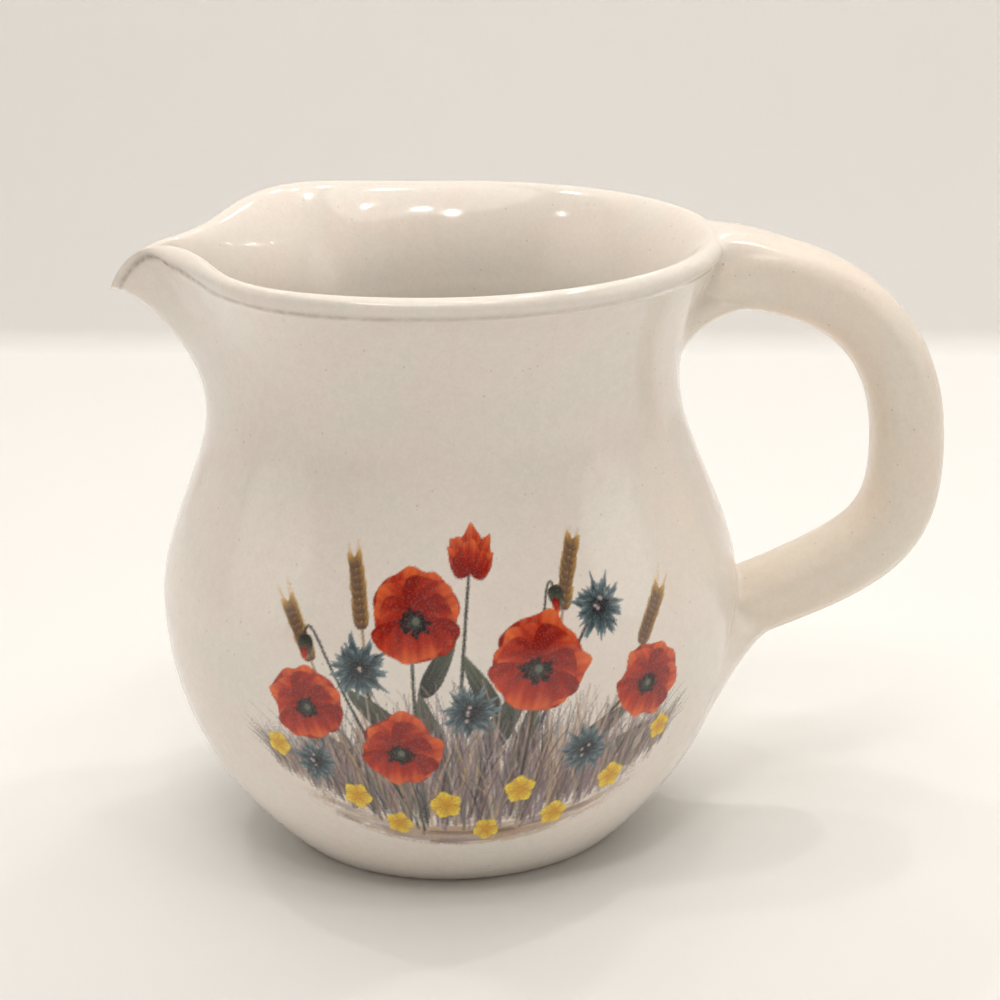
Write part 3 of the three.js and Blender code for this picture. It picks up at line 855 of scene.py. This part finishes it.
class Canvas:
    """The flat film, in millimetres round the belly and up it. Its paint is kept times its cover."""

    def __init__(self):
        columns = int(2 * PICTURE_REACH / PICTURE_CELL)
        rows = int((PICTURE_HIGH - PICTURE_LOW) / PICTURE_CELL)
        self.rng = np.random.default_rng(PICTURE_SEED)
        self.paint = np.zeros((rows, columns, 3))
        self.cover = np.zeros((rows, columns))
        self.x = -PICTURE_REACH + PICTURE_CELL * (np.arange(columns) + 0.5)
        self.y = PICTURE_LOW + PICTURE_CELL * (np.arange(rows) + 0.5)

    def window(self, low, high):
        """The cells between two corners, with their places."""
        columns = slice(*np.searchsorted(self.x, (low[0], high[0])))
        rows = slice(*np.searchsorted(self.y, (low[1], high[1])))
        return (rows, columns), self.x[columns][None, :], self.y[rows][:, None]

    def lay(self, cells, depth, colour, strength=1.0):
        """Lays paint where the depth inside a shape's edge, in millimetres, is above zero."""
        mask = strength * np.clip(depth / BRUSH_EDGE + 0.5, 0, 1)
        self.paint[cells] = mask[..., None] * colour + (1 - mask[..., None]) * self.paint[cells]
        self.cover[cells] = mask + (1 - mask) * self.cover[cells]

    def sample(self, x, y):
        """Colour and cover at any places, blended from the nearest four cells."""
        column = np.clip((x - self.x[0]) / PICTURE_CELL, 0, len(self.x) - PICTURE_MARGIN)
        row = np.clip((y - self.y[0]) / PICTURE_CELL, 0, len(self.y) - PICTURE_MARGIN)
        left, low = column.astype(int), row.astype(int)
        both = np.concatenate([self.paint, self.cover[..., None]], -1)
        total = 0
        for up in (0, 1):
            for right in (0, 1):
                share = np.abs(1 - right - (column - left)) * np.abs(1 - up - (row - low))
                total = total + share[..., None] * both[low + up, left + right]
        return total


def mixed(first, second, share):
    return between(first, second, np.clip(share, 0, 1)[..., None])


def heading(angle):
    return np.array([math.cos(angle), math.sin(angle)])


def bowed(points, share):
    """Places at shares of the way along a curve with three control points."""
    start, bend, end = (np.asarray(point, float) for point in points)
    return (1 - share) ** 2 * start + 2 * share * (1 - share) * bend + share**2 * end


def stroke(canvas, points, widths, colour, strength=1.0, steps=18):
    """A curved brush stroke with three control points, from one width to another."""
    line = bowed(points, np.linspace(0, 1, steps)[:, None])
    half = np.linspace(widths[0], widths[1], steps) / 2
    margin = max(widths) / 2 + BRUSH_EDGE
    cells, x, y = canvas.window(line.min(0) - margin, line.max(0) + margin)
    depth = np.full((y.size, x.size), -1.0)
    for (ax, ay), (bx, by), width in zip(line[:-1], line[1:], half):
        run = max((bx - ax) ** 2 + (by - ay) ** 2, TINY)
        along = np.clip(((x - ax) * (bx - ax) + (y - ay) * (by - ay)) / run, 0, 1)
        away = np.hypot(x - ax - along * (bx - ax), y - ay - along * (by - ay))
        depth = np.maximum(depth, width - away)
    canvas.lay(cells, depth, colour, strength)


def straight(canvas, start, end, **style):
    stroke(canvas, (start, (start + end) / 2, end), **style)


def petal(canvas, base, angle, length, width, colours, ripple=0.06, fullest=0.62):
    """One petal from its base outwards: broad, rippled at the end, veined and darker towards its base."""
    reach = PETAL_MARGIN * max(length, width)
    cells, x, y = canvas.window(base - reach, base + reach)
    out = ((x - base[0]) * np.cos(angle) + (y - base[1]) * np.sin(angle)) / length
    side = ((y - base[1]) * np.cos(angle) - (x - base[0]) * np.sin(angle)) / (width / 2)
    wave, vein = canvas.rng.uniform(0, 2 * np.pi, 2)
    rippled = np.sin(RIPPLE_WAVES[0] * side + wave) + FINE_RIPPLE * np.sin(RIPPLE_WAVES[1] * side + vein)
    end = 1 + ripple * rippled
    along = np.clip(out / end, 0, 1)
    half = np.clip(np.sin(np.pi * along**fullest), 0, 1) ** PETAL_BLUNTNESS
    depth = np.where((out > 0) & (out < end), (half - np.abs(side)) * width / 2, -1.0)
    veins = VEIN_DEPTHS[0] * np.sin(VEIN_WAVES[0] * side / (VEIN_FAN + along) + vein)
    veins = veins + VEIN_DEPTHS[1] * np.sin(VEIN_WAVES[1] * side + wave)
    colour = mixed(colours[0], colours[1], ramp(*MIDDLE_TONE, along) + veins - SIDE_SHADE * side)
    colour = mixed(colour, colours[2], ramp(*END_TONE, along) + veins)
    colour = colour * np.clip(EDGE_SHADE + depth / EDGE_WIDTH, 0, 1)[..., None]
    canvas.lay(cells, depth, colour)


def dot(canvas, centre, radius, colour):
    margin = radius + BRUSH_EDGE
    cells, x, y = canvas.window(centre - margin, centre + margin)
    canvas.lay(cells, radius - np.hypot(x - centre[0], y - centre[1]), colour)


def poppy_petals(canvas, centre, size, lean, petals, inset):
    for turn, length, width in petals:
        angle = math.radians(turn + lean)
        base = centre - inset * size * heading(angle)
        petal(canvas, base, angle, length * size, width * size, POPPY_INKS)


def heart_places(canvas, centre, size, lean, step, sway, reach):
    """Places round a poppy's heart, at about even turns."""
    for turn in range(0, 360, step):
        angle = math.radians(turn + lean + canvas.rng.uniform(-sway, sway))
        yield centre + size * canvas.rng.uniform(*reach) * heading(angle) * HEART_SHAPE


def poppy(canvas, centre, size, lean):
    """An open poppy seen a little from above, with a dark heart and a ring of stamens."""
    poppy_petals(canvas, centre, size, lean, OPEN_PETALS, PETAL_INSET)
    for tip in heart_places(canvas, centre, size, lean, **RAYS):
        straight(canvas, centre, tip, widths=RAY_WIDTHS * size, colour=BLACK, strength=0.9, steps=6)
    for place in heart_places(canvas, centre, size, 0, **STAMENS):
        dot(canvas, place, STAMEN_SIZE * size, BLACK)
    dot(canvas, centre, SEED_HEAD_SIZE * size, DARK_LEAF)
    dot(canvas, centre + SHINE_PLACE * size, SHINE_SIZE * size, LEAF)


def cup_poppy(canvas, foot, size, lean):
    """A poppy seen from the side, its petals closed to a cup."""
    poppy_petals(canvas, foot, size, lean, CUP_PETALS, 0)


def cornflower(canvas, centre, size):
    """A ragged ring of slate-blue florets round a dark heart."""
    rng = canvas.rng
    for ring, share in FLORET_RINGS:
        for turn in range(0, 360, FLORET_STEP):
            angle = math.radians(turn + ring + rng.uniform(-FLORET_SWAY, FLORET_SWAY))
            length = size * share * rng.uniform(*FLORET_VARIETY)
            petal(canvas, centre, angle, length, FLORET_WIDTH * size, **FLORET)
    for _ in range(HEART_DOTS):
        place = centre + rng.normal(0, HEART_SCATTER * size, 2)
        colour = DARK_SLATE if rng.random() < HEART_DARK_SHARE else PALE_MAUVE
        dot(canvas, place, HEART_DOT_SIZE * size, colour)


def buttercup(canvas, centre, size):
    start = canvas.rng.uniform(0, BUTTERCUP_STEP)
    for turn in range(0, 360, BUTTERCUP_STEP):
        angle = math.radians(start + turn)
        petal(canvas, centre, angle, BUTTERCUP_LENGTH * size, BUTTERCUP_WIDTH * size, **BUTTERCUP)
    dot(canvas, centre, BUTTERCUP_HEART * size, DARK_YELLOW)


def leaf(canvas, base, turn, length):
    angle = math.radians(turn)
    petal(canvas, base, angle, length, LEAF_WIDTH * length, **LEAF_BLADE)
    straight(canvas, base, base + LEAF_RIB_LENGTH * length * heading(angle), **LEAF_RIB)


def wheat(canvas, base, top, bend):
    """A stalk of wheat with grains in two rows and long awns."""
    stroke(canvas, (base, bend, top), **STALK)
    for index in range(GRAIN_PAIRS):
        share = 1 - GRAIN_SPACING * (GRAIN_PAIRS - 1 - index) - EAR_TIP
        place = bowed((base, bend, top), share)
        way = 2 * (1 - share) * (bend - base) + 2 * share * (top - bend)
        up = math.atan2(way[1], way[0])
        for hand in (-1, 1):
            angle = up + hand * (GRAIN_TURN + canvas.rng.uniform(-GRAIN_SWAY, GRAIN_SWAY))
            straight(canvas, place, place + AWN_LENGTH * heading(up + hand * AWN_TURN), **AWN)
            petal(canvas, place, angle, **GRAIN)


def stem(canvas, base, flower):
    stroke(canvas, (base, between(base, flower, STEM_BEND), flower), **STEM)


def bud(canvas, base, bend, end):
    """A nodding bud on a bowed stem."""
    stroke(canvas, (base, bend, end), **BUD_STEM)
    petal(canvas, end, BUD_ANGLE, **BUD_CASE)
    petal(canvas, end + BUD_PETAL_PLACE, BUD_ANGLE, **BUD_PETAL)


def earth(canvas):
    """Broken flat strokes of soil under the grass, rising and fading to both sides."""
    rng = canvas.rng
    for _ in range(EARTH_STROKES):
        place = rng.uniform(-1, 1)
        x = MEADOW_MIDDLE + EARTH_HALF_WIDTH * place
        y = EARTH_HEIGHT + EARTH_RISE * place**2 + rng.normal(0, EARTH_SCATTER)
        run = rng.uniform(*EARTH_RUN) * (EARTH_RUN_END - abs(place))
        slope = EARTH_SLOPE * place
        colour = EARTH_INKS[rng.choice(len(EARTH_INKS), p=EARTH_SHARES)]
        bend = (x, y + rng.normal(0, EARTH_BOW))
        points = ((x - run, y - slope * run), bend, (x + run, y + slope * run))
        stroke(canvas, points, EARTH_WIDTHS, colour, EARTH_STRENGTH * (EARTH_STRENGTH_END - abs(place)))


def grass(canvas):
    """Fine bowed blades, the far ones tall and pale, the near ones short and dark."""
    rng = canvas.rng
    for index in range(GRASS_BLADES):
        near = index / GRASS_BLADES
        place = rng.uniform(-1, 1)
        full = 1 - place**2
        foot = GRASS_HEIGHT + GRASS_RISE * place**2 + (1 - near) * GRASS_DEPTH * full
        base = np.array([MEADOW_MIDDLE + GRASS_HALF_WIDTH * place, foot + rng.normal(0, GRASS_SCATTER)])
        height = BLADE_SHORTEST + BLADE_GROWTH * full * (1 - BLADE_NEAR_LOSS * near)
        height *= rng.uniform(*BLADE_VARIETY)
        tip = np.array([rng.normal(BLADE_SWAY * place, BLADE_SWAY), height])
        shares = between(FAR_SHARES, NEAR_SHARES, near)
        colour = GRASS_INKS[rng.choice(len(GRASS_INKS), p=shares / shares.sum())]
        strength = rng.uniform(*BLADE_STRENGTH) * between(BLADE_SIDE_STRENGTH, 1, full)
        points = (base, base + tip * BLADE_BEND, base + tip)
        stroke(canvas, points, colour=colour, strength=strength, **BLADE)


BACK_LAYERS = ((wheat, WHEAT), (stem, STEMS), (leaf, LEAVES))
FRONT_LAYERS = (
    (bud, BUDS), (cup_poppy, CUP_POPPIES), (cornflower, CORNFLOWERS), (poppy, POPPIES),
    (buttercup, BUTTERCUPS),
)


def paint_layers(canvas, layers):
    for paint, rows in layers:
        for row in rows:
            paint(canvas, *(np.array(value, float) for value in row))


def painted_picture():
    """The whole picture, from the back to the front."""
    canvas = Canvas()
    earth(canvas)
    paint_layers(canvas, BACK_LAYERS)
    grass(canvas)
    paint_layers(canvas, FRONT_LAYERS)
    return canvas


# Materials

class Nodes:
    """Adds shader nodes to a material or a world and links them by the names of their inputs."""

    def __init__(self, owner):
        self.owner = owner
        owner.use_nodes = True
        self.tree = owner.node_tree
        self.tree.nodes.clear()

    def add(self, kind, inputs=None, **settings):
        node = self.tree.nodes.new(kind)
        for key, value in settings.items():
            setattr(node, key, value)
        for key, value in (inputs or {}).items():
            if isinstance(value, bpy.types.NodeSocket):
                self.tree.links.new(value, node.inputs[key])
            else:
                node.inputs[key].default_value = value
        return node

    def math(self, operation, first, second, clamp=False):
        inputs = {0: first, 1: second}
        return self.add("ShaderNodeMath", inputs, operation=operation, use_clamp=clamp).outputs[0]

    def times(self, first, second):
        return self.math("MULTIPLY", first, second)

    def scaled(self, colour, factor):
        return self.add("ShaderNodeVectorMath", {0: colour, 3: factor}, operation="SCALE").outputs[0]

    def span(self, value, low, high, to_low=0.0, to_high=1.0):
        """A value from one range to another, held at its ends."""
        inputs = {"Value": value, "From Min": low, "From Max": high, "To Min": to_low, "To Max": to_high}
        return self.add("ShaderNodeMapRange", inputs, interpolation_type="SMOOTHSTEP").outputs[0]

    def mix(self, share, first, second, blend="MIX"):
        node = self.add("ShaderNodeMix", {0: share, 6: first, 7: second}, data_type="RGBA", blend_type=blend)
        return node.outputs[2]

    def tinted(self, share, colour, tint):
        return self.mix(share, colour, (*tint, 1), "MULTIPLY")

    def noise(self, coordinates, size, detail=2.0, roughness=0.5):
        """Noise whose blotches are about as large as a size in metres."""
        inputs = {"Vector": coordinates, "Scale": 1 / size, "Detail": detail, "Roughness": roughness}
        return self.add("ShaderNodeTexNoise", inputs).outputs[0]

    def number(self, name):
        return self.add("ShaderNodeAttribute", attribute_name=name).outputs["Fac"]

    def finish(self, shader, output="ShaderNodeOutputMaterial"):
        self.add(output, {"Surface": shader.outputs[0]})
        return self.owner


GLAZE_COLOUR = (0.905, 0.835, 0.76, 1)
GLAZE_PINK = (0.915, 0.82, 0.745, 1)
GLAZE_GREEN = (0.885, 0.835, 0.76, 1)
HANDLE_TINT = (1.0, 0.975, 0.93)
# Painted shade: the tint that darkens and greys the glaze deep inside the jug
INSIDE_SHADE_TINT = (0.80, 0.83, 0.83)
SPECK_COLOUR = (0.30, 0.23, 0.17, 1)
GROOVE_COLOUR = (0.235, 0.18, 0.135, 1)
CLAY_COLOUR = (0.62, 0.50, 0.38, 1)

# Blotches of the glaze and dots of the print, in metres, and the values between which their noise mostly lies
CLOUD_SIZE = 0.012
GRAIN_SIZE = 0.0016
DUST_SIZE = 0.0005
INK_DOT_SIZE = 0.00032
NOISE_RANGE = (0.3, 0.7)
MOTTLE_RANGE = (0.35, 0.65)
LINE_RANGE = (0.36, 0.6)

# Specks: their spacing and size in metres and the share of places that have one, and how dark they are
FINE_SPECKS = (0.0011, 0.00026, 0.3)
FINE_DARKNESS = 0.22
LARGE_SPECKS = (0.0047, 0.0003, 0.1)
LARGE_DARKNESS = 0.4

# How light, rough or strong the noise makes things, from its low end to its high end
MOTTLE = (0.0, 0.6)
GRAIN_LIGHT = (0.985, 1.01)
DUST_LIGHT = (0.975, 1.015)
LINE_STRENGTH = (0.6, 1.0)
GLAZE_ROUGHNESS = (0.08, 0.13)
INK_LIGHT = (0.86, 1.12)
INK_PATCHES = (-0.22, 0.22)
INK_EDGE = (0.02, 0.2)

# The ink's least cover and the cover at which its patches would end, and the gloss and relief of the glaze
THINNEST_INK = 0.01
PATCHLESS_COVER = 1.25
SLIP_DULLNESS = 0.14
CLAY_ROUGHNESS = 0.8
BUMP_STRENGTH = 0.25
BUMP_DEPTH = 0.00006
GRAIN_RELIEF = 0.5
GLAZE_IOR = 1.52


def specks(nodes, coordinates, spacing, size, share):
    """Round specks on a share of scattered places."""
    inputs = {"Vector": coordinates, "Scale": 1 / spacing, "Randomness": 1.0}
    cells = nodes.add("ShaderNodeTexVoronoi", inputs)
    chosen = nodes.add("ShaderNodeSeparateColor", {"Color": cells.outputs["Color"]})
    reach = size / spacing
    grown = nodes.span(chosen.outputs[0], 1 - share, 1, -reach / 2, reach)
    depth = nodes.math("SUBTRACT", grown, cells.outputs["Distance"])
    return nodes.span(depth, 0, reach / 3)


class Glaze(Nodes):
    """The cream glaze, with soft mottling, small specks and pits. Its tone and roughness can be changed."""

    def __init__(self, name):
        super().__init__(bpy.data.materials.new(name))
        self.coordinates = self.add("ShaderNodeTexCoord").outputs["Object"]
        self.grain = self.noise(self.coordinates, GRAIN_SIZE, detail=3, roughness=0.6)
        cloud = self.noise(self.coordinates, CLOUD_SIZE, detail=3)
        dust = self.noise(self.coordinates, DUST_SIZE, roughness=0.6)
        fine = specks(self, self.coordinates, *FINE_SPECKS)
        large = specks(self, self.coordinates, *LARGE_SPECKS)
        tone = self.mix(self.span(cloud, *MOTTLE_RANGE), GLAZE_PINK, GLAZE_GREEN)
        tone = self.mix(self.span(self.grain, *MOTTLE_RANGE, *MOTTLE), tone, GLAZE_COLOUR)
        grain_light = self.span(self.grain, *NOISE_RANGE, *GRAIN_LIGHT)
        dust_light = self.span(dust, *NOISE_RANGE, *DUST_LIGHT)
        tone = self.scaled(tone, self.times(grain_light, dust_light))
        tone = self.mix(self.times(fine, FINE_DARKNESS), tone, SPECK_COLOUR)
        self.tone = self.mix(self.times(large, LARGE_DARKNESS), tone, SPECK_COLOUR)
        self.roughness = self.span(self.grain, *NOISE_RANGE, *GLAZE_ROUGHNESS)
        height = self.math("SUBTRACT", self.times(self.grain, GRAIN_RELIEF), self.math("ADD", fine, large))
        inputs = {"Height": height, "Strength": BUMP_STRENGTH, "Distance": BUMP_DEPTH}
        self.bump = self.add("ShaderNodeBump", inputs).outputs[0]

    def glazed(self):
        inputs = {"Base Color": self.tone, "Roughness": self.roughness, "Normal": self.bump, "IOR": GLAZE_IOR}
        return self.finish(self.add("ShaderNodeBsdfPrincipled", inputs))


def body_glaze():
    glaze = Glaze("glaze")
    bare = glaze.number("bare")
    broken = glaze.span(glaze.grain, *LINE_RANGE, *LINE_STRENGTH)
    tone = glaze.mix(glaze.times(glaze.number("groove"), broken), glaze.tone, GROOVE_COLOUR)
    # Painted shade: the inside is tinted darker and greyer deeper in the jug
    tone = glaze.tinted(glaze.number("inside"), tone, INSIDE_SHADE_TINT)
    clay = glaze.mix(glaze.span(glaze.grain, *NOISE_RANGE), CLAY_COLOUR, GLAZE_PINK)
    glaze.tone = glaze.mix(bare, tone, clay)
    glaze.roughness = glaze.math("MAXIMUM", glaze.roughness, glaze.times(bare, CLAY_ROUGHNESS))
    return glaze.glazed()


def slip_glaze():
    glaze = Glaze("slip_glaze")
    slip = glaze.number("slip")
    glaze.tone = glaze.tinted(slip, glaze.tone, HANDLE_TINT)
    glaze.roughness = glaze.math("ADD", glaze.roughness, glaze.times(slip, SLIP_DULLNESS))
    return glaze.glazed()


def film_glaze():
    """The glaze with the print in it. The ink is laid in fine dots, so its thin places look grainy."""
    glaze = Glaze("print")
    print_ = glaze.add("ShaderNodeAttribute", attribute_name="ink")
    cover = print_.outputs["Alpha"]
    whole = glaze.math("MAXIMUM", cover, THINNEST_INK)
    colour = glaze.add("ShaderNodeVectorMath", {0: print_.outputs["Color"], 1: whole}, operation="DIVIDE")
    dots = glaze.noise(glaze.coordinates, INK_DOT_SIZE, detail=1)
    grainy = glaze.scaled(colour.outputs[0], glaze.span(dots, *NOISE_RANGE, *INK_LIGHT))
    patchy = glaze.span(dots, *NOISE_RANGE, *INK_PATCHES)
    thin = glaze.times(patchy, glaze.math("SUBTRACT", PATCHLESS_COVER, cover))
    share = glaze.math("ADD", cover, glaze.times(thin, glaze.span(cover, *INK_EDGE)), True)
    glaze.tone = glaze.mix(share, glaze.tone, grainy)
    return glaze.glazed()


# Stage, light and camera

CAMERA_PLACE = Vector((0.0, -0.3982, 0.1811))
CAMERA_AIM = Vector((0.0081, 0.0, 0.0523))
CAMERA_ROLL = math.radians(1.5)
FOCAL_PIXELS = 2675
IMAGE_PIXELS = 1000
SENSOR = 36.0
CAMERA_NEAREST = 0.01
WALL_DISTANCE = 0.293
WALL_YAW = math.radians(-7.56)
WALL_HEIGHT = 1.2
STAGE_HALF = 3.0
COVE_RADIUS = 0.006
COVE_STEPS = 16
FLOOR_COLOUR = (0.885, 0.89, 0.88, 1)
WALL_COLOUR = (0.965, 0.945, 0.93, 1)
LIGHT_COLOUR = (1.0, 0.95, 0.89)
ROOM_STRENGTH = 0.085
PAPER_CLOUD_SIZE = 0.2
PAPER_LIGHT = (0.985, 1.0)
PAPER_ROUGHNESS = 0.7
LAMP_AIM = (0, 0, 0.05)

# Lamps: name, place and size in metres, power in watts
LAMPS = (
    ("ceiling", (0.0, -0.25, 1.25), 1.2, 8.2),
    ("side_left", (-2.3, -0.3, 0.8), 1.8, 6.5),
    ("side_right", (2.3, -0.3, 0.8), 1.8, 9.3),
    ("fill", (0.0, -1.1, 0.05), 1.0, 0.8),
    ("spot_back", (0.154, 0.224, 0.7), 0.03, 0.27),
    ("spot_right", (0.4, 0.22, 0.9), 0.05, 0.8),
    ("spot_left", (-0.36, 0.26, 0.9), 0.05, 0.6),
    ("spot_over", (0.09, -0.01, 1.05), 0.05, 0.2),
    ("front_high", (0.22, -0.32, 0.97), 0.06, 0.3),
    ("front_near", (0.06, -0.52, 0.91), 0.06, 0.35),
    ("front_beside", (-0.08, -0.58, 0.86), 0.09, 0.5),
    ("front_left", (-0.66, -0.15, 0.78), 0.05, 0.2),
    ("back_low", (0.267, 0.211, 0.217), 0.009, 0.003),
    ("back_beside", (0.248, 0.24, 0.192), 0.009, 0.003),
    ("back_middle", (0.087, 0.235, 0.239), 0.014, 0.008),
    ("back_high", (0.131, 0.224, 0.434), 0.02, 0.016),
    ("back_far", (0.084, 0.235, 0.323), 0.018, 0.013),
)


def add_camera():
    data = bpy.data.cameras.new("camera")
    data.sensor_width = SENSOR
    data.lens = SENSOR * FOCAL_PIXELS / IMAGE_PIXELS
    data.clip_start = CAMERA_NEAREST
    camera = add_object("camera", data)
    aim = (CAMERA_AIM - CAMERA_PLACE).to_track_quat("-Z", "Y").to_matrix().to_4x4()
    camera.matrix_world = Matrix.Translation(CAMERA_PLACE) @ aim @ Matrix.Rotation(-CAMERA_ROLL, 4, "Z")
    bpy.context.scene.camera = camera


def paper():
    """Matte paper, faintly cloudy, in a floor tone and a wall tone. It is clear from behind and below."""
    nodes = Nodes(bpy.data.materials.new("paper"))
    coordinates = nodes.add("ShaderNodeTexCoord").outputs["Object"]
    height = nodes.add("ShaderNodeSeparateXYZ", {0: coordinates}).outputs[2]
    tone = nodes.mix(nodes.span(height, 0, COVE_RADIUS), FLOOR_COLOUR, WALL_COLOUR)
    cloud = nodes.span(nodes.noise(coordinates, PAPER_CLOUD_SIZE), *NOISE_RANGE, *PAPER_LIGHT)
    inputs = {"Base Color": nodes.scaled(tone, cloud), "Roughness": PAPER_ROUGHNESS}
    matte = nodes.add("ShaderNodeBsdfPrincipled", inputs).outputs[0]
    clear = nodes.add("ShaderNodeBsdfTransparent").outputs[0]
    from_behind = nodes.add("ShaderNodeNewGeometry").outputs["Backfacing"]
    return nodes.finish(nodes.add("ShaderNodeMixShader", {0: from_behind, 1: matte, 2: clear}))


def add_stage():
    """A sweep of paper: the floor, a small cove and the wall behind the jug."""
    angle = np.linspace(0, np.pi / 2, COVE_STEPS + 1)
    cove = COVE_RADIUS * np.stack([np.sin(angle) - 1, 1 - np.cos(angle)], 1)
    flat = [(-2 * STAGE_HALF, 0), (-2 * COVE_RADIUS, 0)]
    upright = [(0, 2 * COVE_RADIUS), (0, WALL_HEIGHT)]
    section = np.concatenate([flat, cove, upright])
    points = [(x, y, z) for y, z in section for x in (-STAGE_HALF, STAGE_HALF)]
    faces = [(row, row + 1, row + 3, row + 2) for row in range(0, 2 * len(section) - 2, 2)]
    sweep = add_mesh("paper_sweep", np.array(points) / MM, faces)
    sweep.matrix_world = Matrix.Translation((0, WALL_DISTANCE, 0)) @ Matrix.Rotation(WALL_YAW, 4, "Z")
    sweep.data.materials.append(paper())


def add_lamp(name, place, size, power):
    data = bpy.data.lights.new(name, "AREA")
    data.shape = "DISK"
    data.size = size
    data.energy = power
    data.color = LIGHT_COLOUR
    lamp = add_object(name, data)
    lamp.location = place
    lamp.rotation_euler = (Vector(LAMP_AIM) - Vector(place)).to_track_quat("-Z", "Y").to_euler()


def add_light():
    nodes = Nodes(bpy.data.worlds.new("room"))
    room = nodes.add("ShaderNodeBackground", {"Color": (*LIGHT_COLOUR, 1), "Strength": ROOM_STRENGTH})
    bpy.context.scene.world = nodes.finish(room, "ShaderNodeOutputWorld")
    for lamp in LAMPS:
        add_lamp(*lamp)


def dress(piece, node, material):
    """Puts a finished piece in the place of its CAD node."""
    piece.data.materials.append(material)
    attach(piece, "root")
    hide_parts(node)


def main():
    bpy.context.scene.view_settings.view_transform = "Standard"
    add_camera()
    add_stage()
    add_light()
    upper = fillet_skin(True, UPPER_FILLET)
    lower = fillet_skin(False, LOWER_FILLET)
    slip = slip_glaze()
    dress(add_body(), "body", body_glaze())
    dress(add_handle(upper, lower), "handle", slip)
    dress(add_fillet("upper_fillet", True, upper), "upper_slip_joint", slip)
    dress(add_fillet("lower_fillet", False, lower), "lower_slip_joint", slip)
    dress(add_film(), "picture_transfer", film_glaze())


main()
